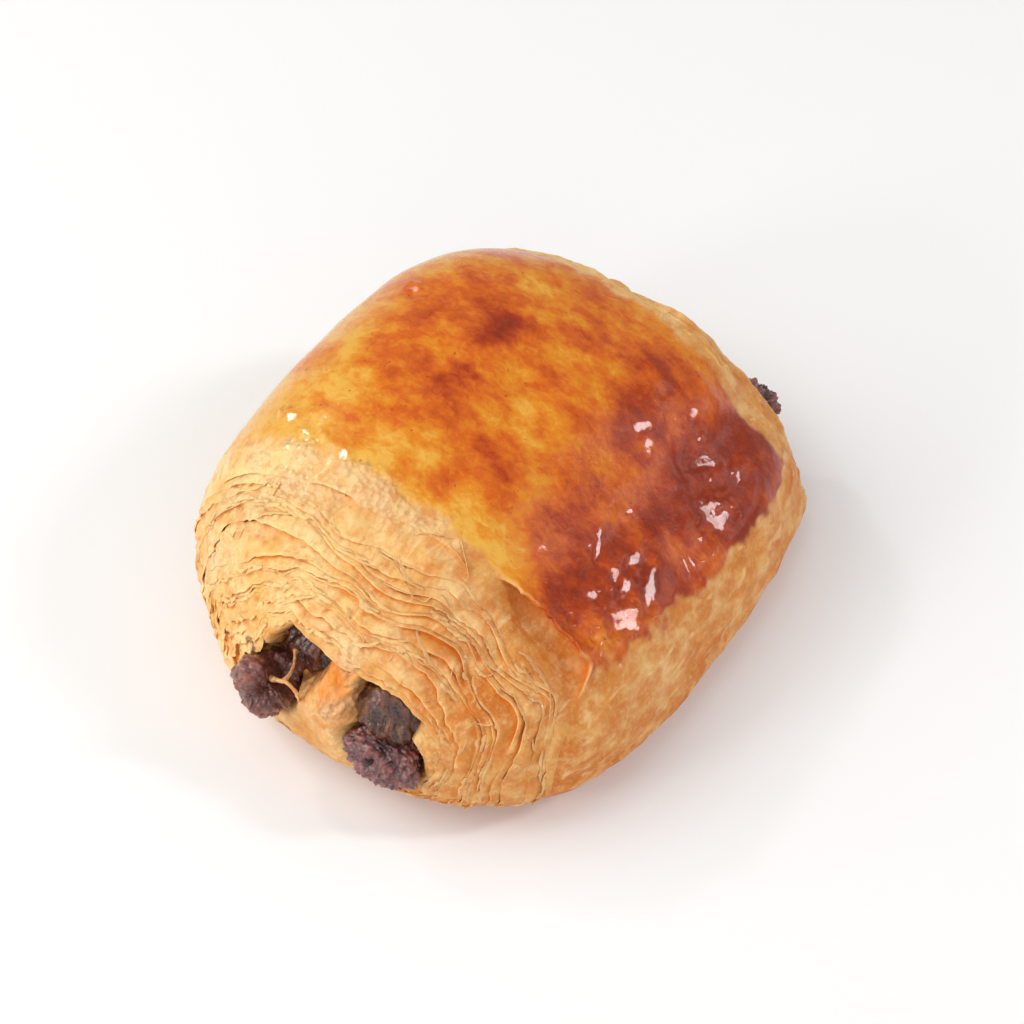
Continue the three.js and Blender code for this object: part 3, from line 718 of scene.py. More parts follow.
# thin sheets lapping over each other on the sides: soft steps whose edges wander along the roll
lapf = (A + 7 * fbm(P * np.array([1, 0.6, 1]), 16, 3, 671)) / 9.0
lap = lapf - np.floor(lapf)
laps = np.clip(lap / 0.9, 0, 1) * (1 - sstep(0.9, 1.0, lap))
lap_amt = (0.55 * left_side + 0.35 * (A < 16) * (A > -30)) * np.clip(0.3 + 1.7 * fbm(P, 12, 2, 673), 0, 1) * (1 - GL)
body_bumps = body_bumps + laps * lap_amt
blend_edge = 1 - np.exp(-np.clip(sF, 0, 99) / 2.0)
keep = 1 - 0.95 * flat_w
inner_blisters = (blob(PX, PY, 718, 510, 8, 7, 0, 3) + blob(PX, PY, 600, 588, 9, 7, 0, 3) + blob(PX, PY, 601, 636, 8, 7, 0, 3)) * np.clip(0.45 - cells(P, 1.1, 645), 0, 1) * 0.5
L = L + shared(P) * np.exp(-np.clip(sF, 0, 99) / 2.2) + ((w1 + w2 + w3) * keep + body_bumps * keep + (folds + blis + dots) * keep * seen * (GL > 0.02)) * blend_edge * (CREVICE_SHADE < 0.2) + GL * 0.14
for c, hv, wgt in flats:
    level = ((P[c] - P) @ hv + L[c] * (P_N[c] @ hv)) / np.clip(P_N @ hv, 0.5, 1)
    L = L + wgt * np.clip(level - L, -1.2, 1.2)
L = L + inner_blisters * seen * (CREVICE_SHADE < 0.2)
L = L - 0.35 * np.exp(-((A - 19) / 2.6) ** 2) * np.exp(-((T - 72) / 5.0) ** 2)
L = L + 2.2 * np.exp(-(((A - 62) / 16) ** 2) - ((T - 120) / 10) ** 2)
P2 = place(th2, T, L)
edge_glow = np.exp(-np.clip(T - 69, 0, 99) / 4.5)
BROWNED = [  # browner and paler clouds of the glaze: centre, half sizes, turn, amount
    (505, 332, 34, 14, -8, 0.45), (462, 374, 26, 12, -15, 0.35), (598, 345, 42, 20, 10, 0.08), (650, 330, 30, 18, 20, -0.08), (590, 430, 36, 18, 10, 0.22),
    (560, 520, 40, 24, 25, 0.15), (640, 400, 32, 32, 0, 0.32), (655, 470, 40, 44, 0, 0.08), (600, 540, 40, 40, 0, 0.16), (610, 640, 44, 32, 0, -0.42), (540, 300, 34, 20, 5, -0.06), (435, 318, 34, 10, -20, 0.20), (500, 480, 40, 14, 20, 0.18),
    (330, 385, 44, 30, -40, -0.28), (400, 452, 50, 22, 15, -0.22), (548, 414, 22, 10, 0, -0.12), (500, 425, 40, 14, 15, -0.12), (440, 270, 50, 14, -10, -0.10),
    (300, 425, 40, 20, -20, -0.12), (705, 560, 44, 34, 0, -0.24), (450, 340, 30, 12, -15, -0.08), (540, 445, 30, 10, 10, -0.15), (360, 330, 40, 20, -40, -0.12),
]
cloud = 0
for cx, cy, rx, ry, tn, am in BROWNED:
    cloud = cloud + am * blob(PX + 6 * fbm(P, 7, 2, 651) * 2, PY + 6 * fbm(P, 7, 2, 652) * 2, cx, cy, rx, ry, tn)
brown = 0.42 + 0.44 * (1 - sstep(35, 80, A)) - 0.14 * sstep(108, 122, T) * sstep(60, 90, A) + cloud + 0.36 * fbm(P * np.array([0.8, 1.1, 1]), 12, 3, 621) + 0.02 * sstep(85, 125, T)
brown = brown + 0.26 * np.clip(fbm(P * np.array([0.7, 1.15, 1]), 4.0, 3, 623), -0.5, 1)
brown = np.clip(brown - 0.55 * edge_glow * sstep(30, 60, A) - 0.30 * sstep(118, 148, A), 0, 1)
pieces["outer_sheet"] = mesh_rows("outer_sheet", P2, {
    "rim": RIM, "crevice_shade_and_orange": CREVICE_SHADE, "glaze": GL, "brown": brown, "toast_and_shade": toast_of(P2, P, 9) + 1.1 * warm_of(P2, P, 16), "smear": 0 * T,
    "wet_and_sheen": wet_and_sheen_of(P) * (1 - 0.3 * GL) - GL * (1.2 * blob(PX, PY, 574, 503, 26, 20, 0, 3) + 0.25 * sstep(112, 135, A))})

# ---------------------------------------------------------------- chocolate sticks
STICKS = [
    ("choc_left", (-13.6, -13.2, -13.0), (18.2, 15.0, 15.0), (6.2, 4.3, 4.9), -61.3, 56.2, 11),
    ("choc_right", (12.0, 12.6, 16.4), (16.8, 15.0, 15.4), (7.3, 4.3, 4.8), -59.0, 57.6, 23),
]


def along3(v, t):
    return v[0] * (1 - t) * (1 - 2 * t) + v[1] * 4 * t * (1 - t) + v[2] * t * (2 * t - 1)


for name, cx, cz, rr, fy, by, seed in STICKS:
    NA = 180
    ang = np.linspace(0, 2 * PI, NA + 1)[:-1]
    df, db = rr[0] * 0.85, rr[2] * 0.8
    ph = np.linspace(0.03, PI / 2, 60)
    ys = list(fy + df * (1 - np.cos(ph))) + list(np.linspace(fy + df + 0.35, -44, 34)) + [-38, -30, -16, 0, 16, 30, 38] + \
        list(np.linspace(42, by - db - 0.35, 22)) + list(by - db * (1 - np.cos(ph[::-1][::2])))
    q = list(np.sin(ph)) + [1] * (34 + 7 + 22) + list(np.sin(ph[::-1][::2]))
    ys, q = np.array(ys), np.array(q)
    t = np.clip((ys + 58) / 116, 0, 1)
    X0, Z0 = along3(cx, t), along3(cz, t)
    R0 = rr[1] + (rr[0] - rr[1]) * (1 - sstep(-58, -49, ys)) + (rr[2] - rr[1]) * sstep(38, 52, ys)
    R0 = R0 * q
    head = (1 - sstep(-56, -48, ys))[:, None]  # the lump outside the dough, wider or narrower than the stick
    if name == "choc_left":
        sx, sz, ox, oz = 0.90, 0.88, 0.0, 0.6
    else:
        sx, sz, ox, oz = 1.30, 0.80, -0.8, -1.2
    ca, sa = np.cos(ang)[None], np.sin(ang)[None]
    P = np.stack([X0[:, None] + R0[:, None] * ca * (1 + (sx - 1) * head) + ox * head, np.repeat(ys[:, None], NA, 1),
                  Z0[:, None] + R0[:, None] * sa * (1 + (sz - 1) * head) + oz * head], -1)
    C = np.stack([X0[:, None] + ox * head + 0 * ang, np.clip(np.repeat(ys[:, None], NA, 1), fy + df, by - db), Z0[:, None] + oz * head + 0 * ang], -1)
    N = P - C
    N /= np.linalg.norm(N, axis=-1, keepdims=True) + 1e-9
    ends = np.maximum(1 - sstep(-50, -44, ys), sstep(44, 50, ys))[:, None]
    if name == "choc_left":
        crack = sstep(0.10, 0.0, np.abs(fbm(P, 5.5, 2, seed + 9)))
        disp = 1.5 * fbm(P, 6.0, 2, seed) + 1.0 * fbm(P, 2.4, 3, seed + 3) - 0.35 * (cells(P, 0.9, seed + 5) - 0.45) - 0.6 * crack
        hollow = blob(P[..., 0], P[..., 2], -10.6, 21.6, 3.4, 3.2, 0, 3) * (P[..., 1] < -52)
        disp = disp - 3.2 * hollow
    else:
        jig = P + 0.45 * np.stack([fbm(P, 1.6, 2, 3), fbm(P, 1.6, 2, 4), fbm(P, 1.6, 2, 5)], -1)
        disp = 1.4 * fbm(P, 6.5, 2, seed) + 0.6 * fbm(P, 2.4, 2, seed + 3) - 1.35 * (cells(jig, 1.5, seed + 5) - 0.45) - 0.85 * (cells(jig, 0.8, seed + 6) - 0.45)
    P = P + N * (disp * ends)[..., None]
    pieces[name] = mesh_rows(name, P, {"relief_shade": disp * ends, "melt": 0 * disp, "redder_and_lightened": (1.0 if name == "choc_left" else 0.0) + 0 * disp}, cap_first=True, cap_last=True)

# the softer chocolate that melted up into the two hollows
for name, ctr, rad, lean, seed in [("choc_left_melt", (-8.6, -45.4, 24.0), (7.6, 5.4, 8.2), 0.15, 31), ("choc_right_melt", (9.9, -49.0, 20.6), (6.7, 5.8, 7.2), -0.10, 47)]:
    NA, NR = 130, 76
    ang = np.linspace(0, 2 * PI, NA + 1)[:-1][None]
    pol = np.linspace(0.03, PI - 0.03, NR)[:, None]
    D3 = np.stack([np.sin(pol) * np.cos(ang), -np.cos(pol) + 0 * ang, np.sin(pol) * np.sin(ang)], -1)
    P = np.array(ctr) + D3 * np.array(rad)
    P[..., 0] += lean * (P[..., 2] - ctr[2])
    S3 = P * np.array([1.0, 0.8, 0.28]) + 0.6 * fbm(P, 3, 2, seed + 8)[..., None]
    strands = 1 - 2.2 * np.abs(pnoise(S3, 1.5, seed + 1))
    disp = 1.3 * fbm(P, 4.2, 2, seed) + (0.26 if seed == 47 else 0.34) * strands + 0.06 * (1 - 2.2 * np.abs(pnoise(S3, 0.6, seed + 2)))
    P = P + D3 * disp[..., None]
    pieces[name] = mesh_rows(name, P, {"relief_shade": 0.8 * strands + 0.3 * disp, "melt": np.ones_like(disp), "redder_and_lightened": 0 * disp}, cap_first=True, cap_last=True)

# ---------------------------------------------------------------- thin torn flakes and membranes standing off the layers
FLK = {"v": [], "q": [], "rim": [], "n": 0}
rng = np.random.default_rng(20261)


def surface_at(a_deg, t_deg):
    """Lift of the uppermost layer at these angles, mm."""
    out = np.zeros(len(a_deg))
    for i_, (a_, t_) in enumerate(zip(a_deg, t_deg)):
        j_ = int(np.argmin(np.abs((AF - a_ + 180) % 360 - 180)))
        m_ = np.abs(FT[:, j_] - t_) < 0.45
        out[i_] = FL[m_, j_].max() if m_.any() else 0.0
    return out


def ribbon(a_deg, t_deg, height, lean_deg, thick=0.13, bury=0.35, rag=0.35, seed=0):
    """A thin ragged strip that stands on the layered end along a path, leaning towards the middle of the end."""
    n = len(a_deg)
    th = np.radians(a_deg)
    base = surface_at(a_deg, t_deg)
    k_ = np.hanning(5) / np.hanning(5).sum()
    base = np.convolve(np.pad(base, 2, "edge"), k_, "valid")
    ta = np.radians(t_deg)
    B = roll(th, ta)
    Nn = roll_normal(th, ta)
    if B[:, 2].min() < 2.0:
        return
    tang = np.gradient(B, axis=0)
    tang /= np.linalg.norm(tang, axis=-1, keepdims=True) + 1e-9
    side = np.cross(tang, Nn)
    pole = roll(th, ta - 0.02) - B
    side *= np.sign((side * pole).sum(-1, keepdims=True) + 1e-9)
    B = B + Nn * base[:, None]
    lean = np.radians(lean_deg + 14 * np.array([pnoise(np.array([[x_ * 0.7, seed, 0.5]]), 1.0, 9)[0] for x_ in range(n)]))
    up = Nn * np.cos(lean)[:, None] + side * np.sin(lean)[:, None]
    s_ = np.linspace(0, 1, n)
    hgt = height * np.sin(PI * np.clip(s_, 0.02, 0.98)) ** 0.7
    hgt = hgt * (1 + rag * np.array([pnoise(np.array([[x_ * 0.9, seed * 3.1, 1.5]]), 1.0, 10)[0] for x_ in range(n)]))
    hgt = np.maximum(hgt, 0.03)
    curl = Nn * 0.25
    rows_ = []
    for f_, w_ in ((-1, 0.5), (0.0, 0.5), (0.5, 0.42), (0.85, 0.30), (1.0, 0.10)):
        off = up * (hgt * max(f_, 0) + (-bury if f_ < 0 else 0))[:, None] + curl * (hgt * max(f_, 0) ** 2)[:, None]
        rows_.append((B + off, w_, max(f_, 0)))
    perp = np.cross(up, tang)
    ring = [(r_ + perp * thick * w_, f_) for r_, w_, f_ in rows_] + [(r_ - perp * thick * w_, f_) for r_, w_, f_ in rows_[::-1]]
    V = np.stack([r_[0] for r_ in ring])  # (10, n, 3)
    m = len(ring)
    o = FLK["n"]
    for i_ in range(m):
        i2 = (i_ + 1) % m
        for j_ in range(n - 1):
            FLK["q"].append((o + i_ * n + j_, o + i_ * n + j_ + 1, o + i2 * n + j_ + 1, o + i2 * n + j_))
    for a_, b_ in ((0, True), (n - 1, False)):
        for i_ in range(m // 2 - 1):
            q_ = (o + i_ * n + a_, o + (i_ + 1) * n + a_, o + (m - 2 - i_) * n + a_, o + (m - 1 - i_) * n + a_)
            FLK["q"].append(q_ if not b_ else q_[::-1])
    FLK["v"].append(V.reshape(-1, 3))
    FLK["rim"].append(np.repeat([r_[1] for r_ in ring], n))
    FLK["n"] += m * n


def line_to_angles(pts, n):
    """Angles of a line laid out in the frame, on the smooth roll."""
    pts = np.array(pts, float)
    seg = np.concatenate([[0], np.cumsum(np.hypot(*np.diff(pts, axis=0).T))])
    u_ = np.linspace(0, seg[-1], n)
    xs, ys_ = np.interp(u_, seg, pts[:, 0]), np.interp(u_, seg, pts[:, 1])
    out = []
    for x_, y_ in zip(xs, ys_):
        d_ = np.hypot(GX - x_, GY - y_) + 1e6 * (GFAC < 0.05)
        i_ = np.unravel_index(np.argmin(d_), d_.shape)
        out.append((np.degrees(GTH[i_]), np.degrees(GTA[i_])))
    out = np.array(out)
    kk = np.array([0.25, 0.5, 0.25])
    for c_ in (0, 1):
        out[:, c_] = np.convolve(np.pad(out[:, c_], 1, "edge"), kk, "valid")
    return out[:, 0], out[:, 1]


GTH, GTA = np.meshgrid(np.radians(np.linspace(-30, 200, 461)), np.radians(np.linspace(6, 76, 281)), indexing="ij")
GP = roll(GTH, GTA)
GX, GY = frame_xy(GP)
GV = EYE - GP
GFAC = (roll_normal(GTH, GTA) * GV).sum(-1) / np.linalg.norm(GV, axis=-1)

# torn bits along the rims
for i in range(150):
    k = int(rng.integers(1, KF))
    a0 = float(rng.uniform(-20, 172))
    ln = float(rng.uniform(1.5, 7.0)) * (1 + 0.6 * (rng.random() < 0.25))
    n = int(5 + ln * 1.6)
    a_ = a0 + np.linspace(0, ln, n)
    drift = float(rng.normal(0, 0.5))
    t_ = np.interp((a_ + 360) % 360, (AF[np.argsort((AF + 360) % 360)] + 360) % 360, RIMS[k][np.argsort((AF + 360) % 360)])
    t_ = t_ + np.linspace(0.1, 0.1 + drift, n)
    big = rng.random() < 0.15
    ribbon(a_, t_, float(rng.uniform(0.2, 0.55)) * (1.8 if big else 1.0), float(rng.uniform(50, 85)), 0.17, 0.35, 0.6, i)
# membranes stretched across from one layer to another
for i in range(14):
    a0, t0 = float(rng.uniform(25, 165)), float(rng.uniform(32, 60))
    da, dt = float(rng.normal(0, 3.2)), float(rng.uniform(1.0, 3.4))
    n = 9
    u_ = np.linspace(0, 1, n)
    ribbon(a0 + da * u_ + 0.6 * np.sin(PI * u_) * rng.normal(), t0 + dt * u_, float(rng.uniform(0.2, 0.4)), float(rng.uniform(-10, 40)), 0.17, 0.35, 0.5, 500 + i)
FLAKES = [  # the larger torn membranes: line, height, lean
    ([(448, 536), (452, 548), (461, 558), (466, 566)], 0.9, 25), ([(461, 536), (463, 550), (467, 564), (468, 578)], 0.9, 15), ([(414, 536), (430, 533), (448, 536), (462, 540)], 0.7, 40),
    ([(517, 651), (528, 656), (535, 664), (543, 676), (549, 690)], 1.3, 55), ([(524, 668), (532, 680), (538, 694)], 1.1, 50), ([(549, 690), (551, 705), (549, 720)], 0.9, 45),
    ([(470, 642), (478, 645), (484, 655), (487, 664)], 1.2, 50), ([(512, 692), (520, 708), (526, 722), (524, 740)], 0.8, 45), ([(400, 556), (404, 572), (412, 584), (424, 590)], 0.9, 45),
    ([(404, 582), (414, 598), (426, 603), (432, 597)], 0.7, 30), ([(378, 553), (392, 560), (404, 578)], 0.6, 45), ([(258, 520), (272, 514), (292, 514)], 0.7, 55),
    ([(283, 604), (300, 598), (318, 596)], 0.8, 50), ([(285, 552), (300, 556), (316, 560)], 0.9, 50), ([(345, 606), (352, 612), (349, 620)], 0.8, 35),
    ([(416, 630), (422, 645), (430, 660), (442, 676)], 0.8, 50), ([(360, 560), (372, 566), (384, 572)], 0.8, 45), ([(456, 756), (464, 748), (468, 738)], 0.7, 40),
    ([(272, 480), (262, 488), (250, 490)], 0.7, 45),
]
for i, (pts, hh, ln) in enumerate(FLAKES):
    n = 4 + int(sum(math.hypot(pts[q_ + 1][0] - pts[q_][0], pts[q_ + 1][1] - pts[q_][1]) for q_ in range(len(pts) - 1)) / 3.0)
    a_, t_ = line_to_angles(pts, n)
    ribbon(a_, t_, hh * 0.8, ln, 0.20, 0.4, 0.55, 900 + i)
def at_depth(px, py, y0):
    """Point of the plane y = y0 that lies at this place of the frame."""
    d_ = VF + VR * ((px - 512) / 2800) + VU * ((512 - py) / 2800)
    return EYE + d_ * ((y0 - EYE[1]) / d_[1])


def cord(pts, r0, seed, tone):
    """A drawn-out string of dough or chocolate through the points, thicker at its ends."""
    pts = np.array(pts, float)
    n, m = 36, 10
    seg = np.concatenate([[0], np.cumsum(np.linalg.norm(np.diff(pts, axis=0), axis=1))])
    u_ = np.linspace(0, seg[-1], n)
    C_ = np.stack([np.interp(u_, seg, pts[:, c_]) for c_ in range(3)], -1)
    for _ in range(3):
        C_[1:-1] = 0.25 * C_[:-2] + 0.5 * C_[1:-1] + 0.25 * C_[2:]
    t_ = np.gradient(C_, axis=0)
    t_ /= np.linalg.norm(t_, axis=-1, keepdims=True)
    a_ = np.cross(t_, VF)
    a_ /= np.linalg.norm(a_, axis=-1, keepdims=True)
    b_ = np.cross(t_, a_)
    ph_ = np.linspace(0, 2 * PI, m + 1)[:-1]
    rr_ = r0 * (1 + 1.3 * np.abs(np.linspace(-1, 1, n)) ** 2.5)[:, None, None]
    R_ = C_[:, None] + rr_ * (a_[:, None] * np.cos(ph_)[None, :, None] + b_[:, None] * np.sin(ph_)[None, :, None])
    R_ = R_ + 0.25 * r0 * pnoise(R_, 0.8, seed)[..., None]
    o = FLK["n"]
    for i_ in range(n - 1):
        for j_ in range(m):
            FLK["q"].append((o + i_ * m + j_, o + i_ * m + (j_ + 1) % m, o + (i_ + 1) * m + (j_ + 1) % m, o + (i_ + 1) * m + j_))
    FLK["q"].append(tuple(o + j_ for j_ in range(m))[::-1])
    FLK["q"].append(tuple(o + (n - 1) * m + j_ for j_ in range(m)))
    FLK["v"].append(R_.reshape(-1, 3))
    FLK["rim"].append(np.full(n * m, -0.7 - 0.001 * tone))
    FLK["n"] += n * m


cord([at_depth(268, 678, -55.5), at_depth(277, 680, -56.4), at_depth(286, 682, -56.8), at_depth(294, 689, -56.8), at_depth(299, 699, -56.2), at_depth(301, 711, -54.4)], 0.34, 61, 0)
cord([at_depth(284, 681, -56.4), at_depth(290, 674, -55.0), at_depth(294, 664, -53.0), at_depth(296, 650, -50.5)], 0.26, 62, 300)
V = np.vstack(FLK["v"])
V[:, 2] = np.maximum(V[:, 2], 0.02)
me = bpy.data.meshes.new("torn_flakes")
me.from_pydata([tuple(v_) for v_ in (V + SHIFT) * MM], [], FLK["q"])
rimv = np.concatenate(FLK["rim"])
# Flakes are painted pale, partly their own thin dough and partly painted highlight where they catch the light; the
# cords in the hollows get painted shade and a chocolate smear.
for k_, v_ in (("rim", np.where(rimv < 0, 0.15, 0.75 + 0.25 * rimv)), ("crevice_shade_and_orange", np.where(rimv < 0, 0.5, 0.0)), ("glaze", 0 * rimv), ("brown", 0 * rimv), ("toast_and_shade", 0.15 + 0.6 * sstep(-20, 22, V[:, 0])), ("smear", np.clip((-rimv - 0.75) * 2.0, 0, 1)), ("wet_and_sheen", np.where(rimv < 0, 0.8, 0.3))):
    me.attributes.new(k_, "FLOAT", "POINT").data.foreach_set("value", v_.astype(np.float32))
me.polygons.foreach_set("use_smooth", np.ones(len(me.polygons), bool))
me.update()
pieces["torn_flakes"] = bpy.data.objects.new("torn_flakes", me)
bpy.context.collection.objects.link(pieces["torn_flakes"])

# ================================================================ materials
def new_material(name):
    m = bpy.data.materials.new(name)
    m.use_nodes = True
    nt = m.node_tree
    nt.nodes.clear()
    out = nt.nodes.new("ShaderNodeOutputMaterial")
    bsdf = nt.nodes.new("ShaderNodeBsdfPrincipled")
    nt.links.new(bsdf.outputs[0], out.inputs[0])
    return m, nt, bsdf


class Net:
    def __init__(self, nt):
        self.nt = nt
        self.co = nt.nodes.new("ShaderNodeTexCoord").outputs["Object"]

    def link(self, a, b):
        self.nt.links.new(a, b)

    def attr(self, name):
        n = self.nt.nodes.new("ShaderNodeAttribute")
        n.attribute_name = name
        return n.outputs["Fac"]

    def noise(self, size_mm, detail=3, rough=0.55, stretch=None, distortion=0.0):
        n = self.nt.nodes.new("ShaderNodeTexNoise")
        n.inputs["Scale"].default_value = 1000.0 / size_mm
        n.inputs["Detail"].default_value = detail
        n.inputs["Roughness"].default_value = rough
        n.inputs["Distortion"].default_value = distortion
        co = self.co
        if stretch:
            mp = self.nt.nodes.new("ShaderNodeMapping")
            mp.inputs["Scale"].default_value = stretch
            self.link(co, mp.inputs["Vector"])
            co = mp.outputs[0]
        self.link(co, n.inputs["Vector"])
        return n.outputs["Fac"]

    def voronoi(self, size_mm, feature="F1", randomness=1.0):
        n = self.nt.nodes.new("ShaderNodeTexVoronoi")
        n.feature = feature
        n.inputs["Scale"].default_value = 1000.0 / size_mm
        n.inputs["Randomness"].default_value = randomness
        self.link(self.co, n.inputs["Vector"])
        return n.outputs["Distance"]

    def math(self, op, a, b=None, c=None, clamp=False):
        n = self.nt.nodes.new("ShaderNodeMath")
        n.operation = op
        n.use_clamp = clamp
        for i, v in enumerate((a, b, c)):
            if v is None:
                continue
            if isinstance(v, (int, float)):
                n.inputs[i].default_value = v
            else:
                self.link(v, n.inputs[i])
        return n.outputs[0]

    def range(self, v, a, b, lo=0.0, hi=1.0):
        n = self.nt.nodes.new("ShaderNodeMapRange")
        n.interpolation_type = "SMOOTHSTEP"
        n.inputs["From Min"].default_value = a
        n.inputs["From Max"].default_value = b
        n.inputs["To Min"].default_value = lo
        n.inputs["To Max"].default_value = hi
        self.link(v, n.inputs["Value"])
        return n.outputs[0]

    def mix(self, fac, a, b):
        n = self.nt.nodes.new("ShaderNodeMix")
        n.data_type = "RGBA"
        for v, s_ in ((fac, n.inputs[0]), (a, n.inputs[6]), (b, n.inputs[7])):
            if isinstance(v, (int, float)):
                s_.default_value = v
            elif isinstance(v, tuple):
                s_.default_value = (*v, 1)
            else:
                self.link(v, s_)
        return n.outputs[2]

    def ramp(self, fac, stops):
        n = self.nt.nodes.new("ShaderNodeValToRGB")
        el = n.color_ramp.elements
        while len(el) < len(stops):
            el.new(0.5)
        for e, (p_, c_) in zip(el, stops):
            e.position = p_
            e.color = (*c_, 1)
        self.link(fac, n.inputs[0])
        return n.outputs[0]

    def bump(self, height, strength, distance_mm, normal=None):
        n = self.nt.nodes.new("ShaderNodeBump")
        n.inputs["Strength"].default_value = strength
        n.inputs["Distance"].default_value = distance_mm * MM
        self.link(height, n.inputs["Height"])
        if normal is not None:
            self.link(normal, n.inputs["Normal"])
        return n.outputs[0]


def srgb(r, g, b):
    return tuple(((v / 255) / 12.92) if v / 255 <= 0.04045 else (((v / 255) + 0.055) / 1.055) ** 2.4 for v in (r, g, b))


def dough_material(name, inner_light):
    m_, nt, bs = new_material(name)
    N = Net(nt)
    a_rim, a_crevice_shade_and_orange, a_glaze, a_brown, a_toast_and_shade, a_smear = [N.attr(k) for k in ("rim", "crevice_shade_and_orange", "glaze", "brown", "toast_and_shade", "smear")]
    a_wet_and_sheen = N.attr("wet_and_sheen")
    n_big = N.noise(8, 3)
    n_mid = N.noise(2.8, 4, 0.6, (1, 0.7, 1))
    n_fine = N.noise(0.8, 3)
    pale = N.mix(N.range(n_big, 0.35, 0.65), srgb(242, 206, 142), srgb(234, 180, 100))
    pale = N.mix(N.range(n_mid, 0.46, 0.72, 0, 0.62), pale, srgb(214, 130, 54))
    # Browner tint: tray browning and the orange side tone, and in the front recesses painted shade.
    pale = N.mix(N.math("MULTIPLY", a_toast_and_shade, N.range(n_mid, 0.25, 0.62, 0.45, 1.2)), pale, srgb(200, 112, 40))
    pale = N.mix(N.range(n_fine, 0.42, 0.32, 0, 0.40), pale, srgb(220, 140, 60))
    pale = N.mix(N.range(n_fine, 0.50, 0.70, 0, 0.16), pale, srgb(252, 224, 160))
    pale = N.mix(N.range(N.noise(2.4, 5, 0.62, (1, 0.32, 1), 0.5), 0.54, 0.70, 0, 0.48), pale, srgb(250, 216, 156))
    pale = N.mix(N.range(N.noise(2.0, 4, 0.62, (1, 0.38, 1), 0.5), 0.45, 0.34, 0, 0.45), pale, srgb(214, 128, 52))
    # Painted shade: crevices, wells and recesses are tinted a darker saturated orange; in the strip between the lumps
    # the same orange is the dough's own tone.
    pale = N.mix(N.math("MULTIPLY", a_crevice_shade_and_orange, 0.82), pale, srgb(238, 142, 44))
    # Paler rim edges and crests: partly the thin dough's own paler colour, partly painted highlight where edges catch
    # the light.
    pale = N.mix(N.math("MULTIPLY", a_rim, N.math("SUBTRACT", 0.62, N.math("MULTIPLY", a_toast_and_shade, 0.32))), pale, srgb(254, 222, 154))
    # Painted sheen: a pale pinkish tint where the dough shines.
    pale = N.mix(N.math("MULTIPLY", a_wet_and_sheen, N.range(n_big, 0.40, 0.60, 0.0, 0.34)), pale, srgb(248, 210, 166))
    # glaze
    g_n = N.noise(5.0, 6, 0.66, (0.85, 1.1, 0.95), 0.8)
    g_f = N.noise(1.6, 4, 0.65, (0.8, 1.15, 1.0), 0.6)
    gb = N.math("ADD", a_brown, N.math("MULTIPLY", N.math("SUBTRACT", g_n, 0.5), 0.60))
    gb = N.math("ADD", gb, N.math("MULTIPLY", N.math("SUBTRACT", g_f, 0.5), 0.66), clamp=True)
    glz = N.ramp(gb, [(0.0, srgb(230, 172, 70)), (0.22, srgb(222, 136, 32)), (0.45, srgb(210, 100, 24)), (0.75, srgb(172, 62, 18)), (1.0, srgb(138, 44, 16))])
    specks = N.range(N.noise(1.2, 1, 0.5), 0.74, 0.79, 0, 0.6)
    glz = N.mix(specks, glz, srgb(136, 54, 22))
    col = N.mix(a_glaze, pale, glz)
    choc_n = N.noise(1.6, 4)
    choc_col = N.mix(N.range(choc_n, 0.35, 0.65), srgb(98, 46, 24), srgb(168, 96, 44))
    sm = N.math("MULTIPLY", a_smear, N.range(N.noise(2.0, 4), 0.30, 0.50), clamp=True)
    col = N.mix(sm, col, choc_col)
    nt.links.new(col, bs.inputs["Base Color"])
    rough = N.math("ADD", N.math("MULTIPLY", a_glaze, -0.30), N.range(n_fine, 0.3, 0.7, 0.36, 0.56))
    rough = N.math("SUBTRACT", rough, N.math("MULTIPLY", a_wet_and_sheen, 0.14))
    rough = N.math("SUBTRACT", rough, N.math("MULTIPLY", sm, 0.2), clamp=True)
    nt.links.new(rough, bs.inputs["Roughness"])
    coat = N.math("MULTIPLY", a_glaze, N.range(N.noise(4, 2), 0.25, 0.6, 0.30, 0.58))
    coat = N.math("ADD", coat, N.math("MULTIPLY", a_wet_and_sheen, 1.0), clamp=True)
    nt.links.new(coat, bs.inputs["Coat Weight"])
    bs.inputs["Coat Roughness"].default_value = 0.06
    bs.inputs["Specular IOR Level"].default_value = 0.18
    bs.inputs["Coat IOR"].default_value = 1.40
    bs.inputs["Subsurface Weight"].default_value = inner_light
    bs.inputs["Subsurface Radius"].default_value = (1.0, 0.62, 0.35)
    bs.inputs["Subsurface Scale"].default_value = 0.0012
    b1 = N.bump(N.noise(0.9, 4, 0.65), 0.8, 0.22)
    b1 = N.bump(N.voronoi(1.5), 0.3, 0.16, b1)
    bubbles = N.math("MULTIPLY", N.range(a_wet_and_sheen, 0.15, 0.8), N.voronoi(1.25))
    b1 = N.bump(bubbles, 1.0, 0.6, b1)
    b2 = N.bump(N.noise(3.0, 3, 0.6), 0.5, 0.25, b1)
    nt.links.new(b2, bs.inputs["Normal"])
    fine_wet = N.math("MULTIPLY", a_wet_and_sheen, N.noise(1.0, 3, 0.6))
    fine_glaze = N.math("MULTIPLY", a_glaze, N.math("MULTIPLY", N.noise(0.7, 2, 0.5), 0.22))
    cb = N.bump(N.math("ADD", N.math("ADD", N.noise(2.4, 2, 0.5), fine_glaze), N.math("MULTIPLY", fine_wet, 2.2)), 0.5, 0.10)
    cb = N.bump(bubbles, 0.6, 0.3, cb)
    nt.links.new(cb, bs.inputs["Coat Normal"])
    return m_


dough = dough_material("baked_dough", 0.0)
flake = dough_material("baked_flake", 0.0)

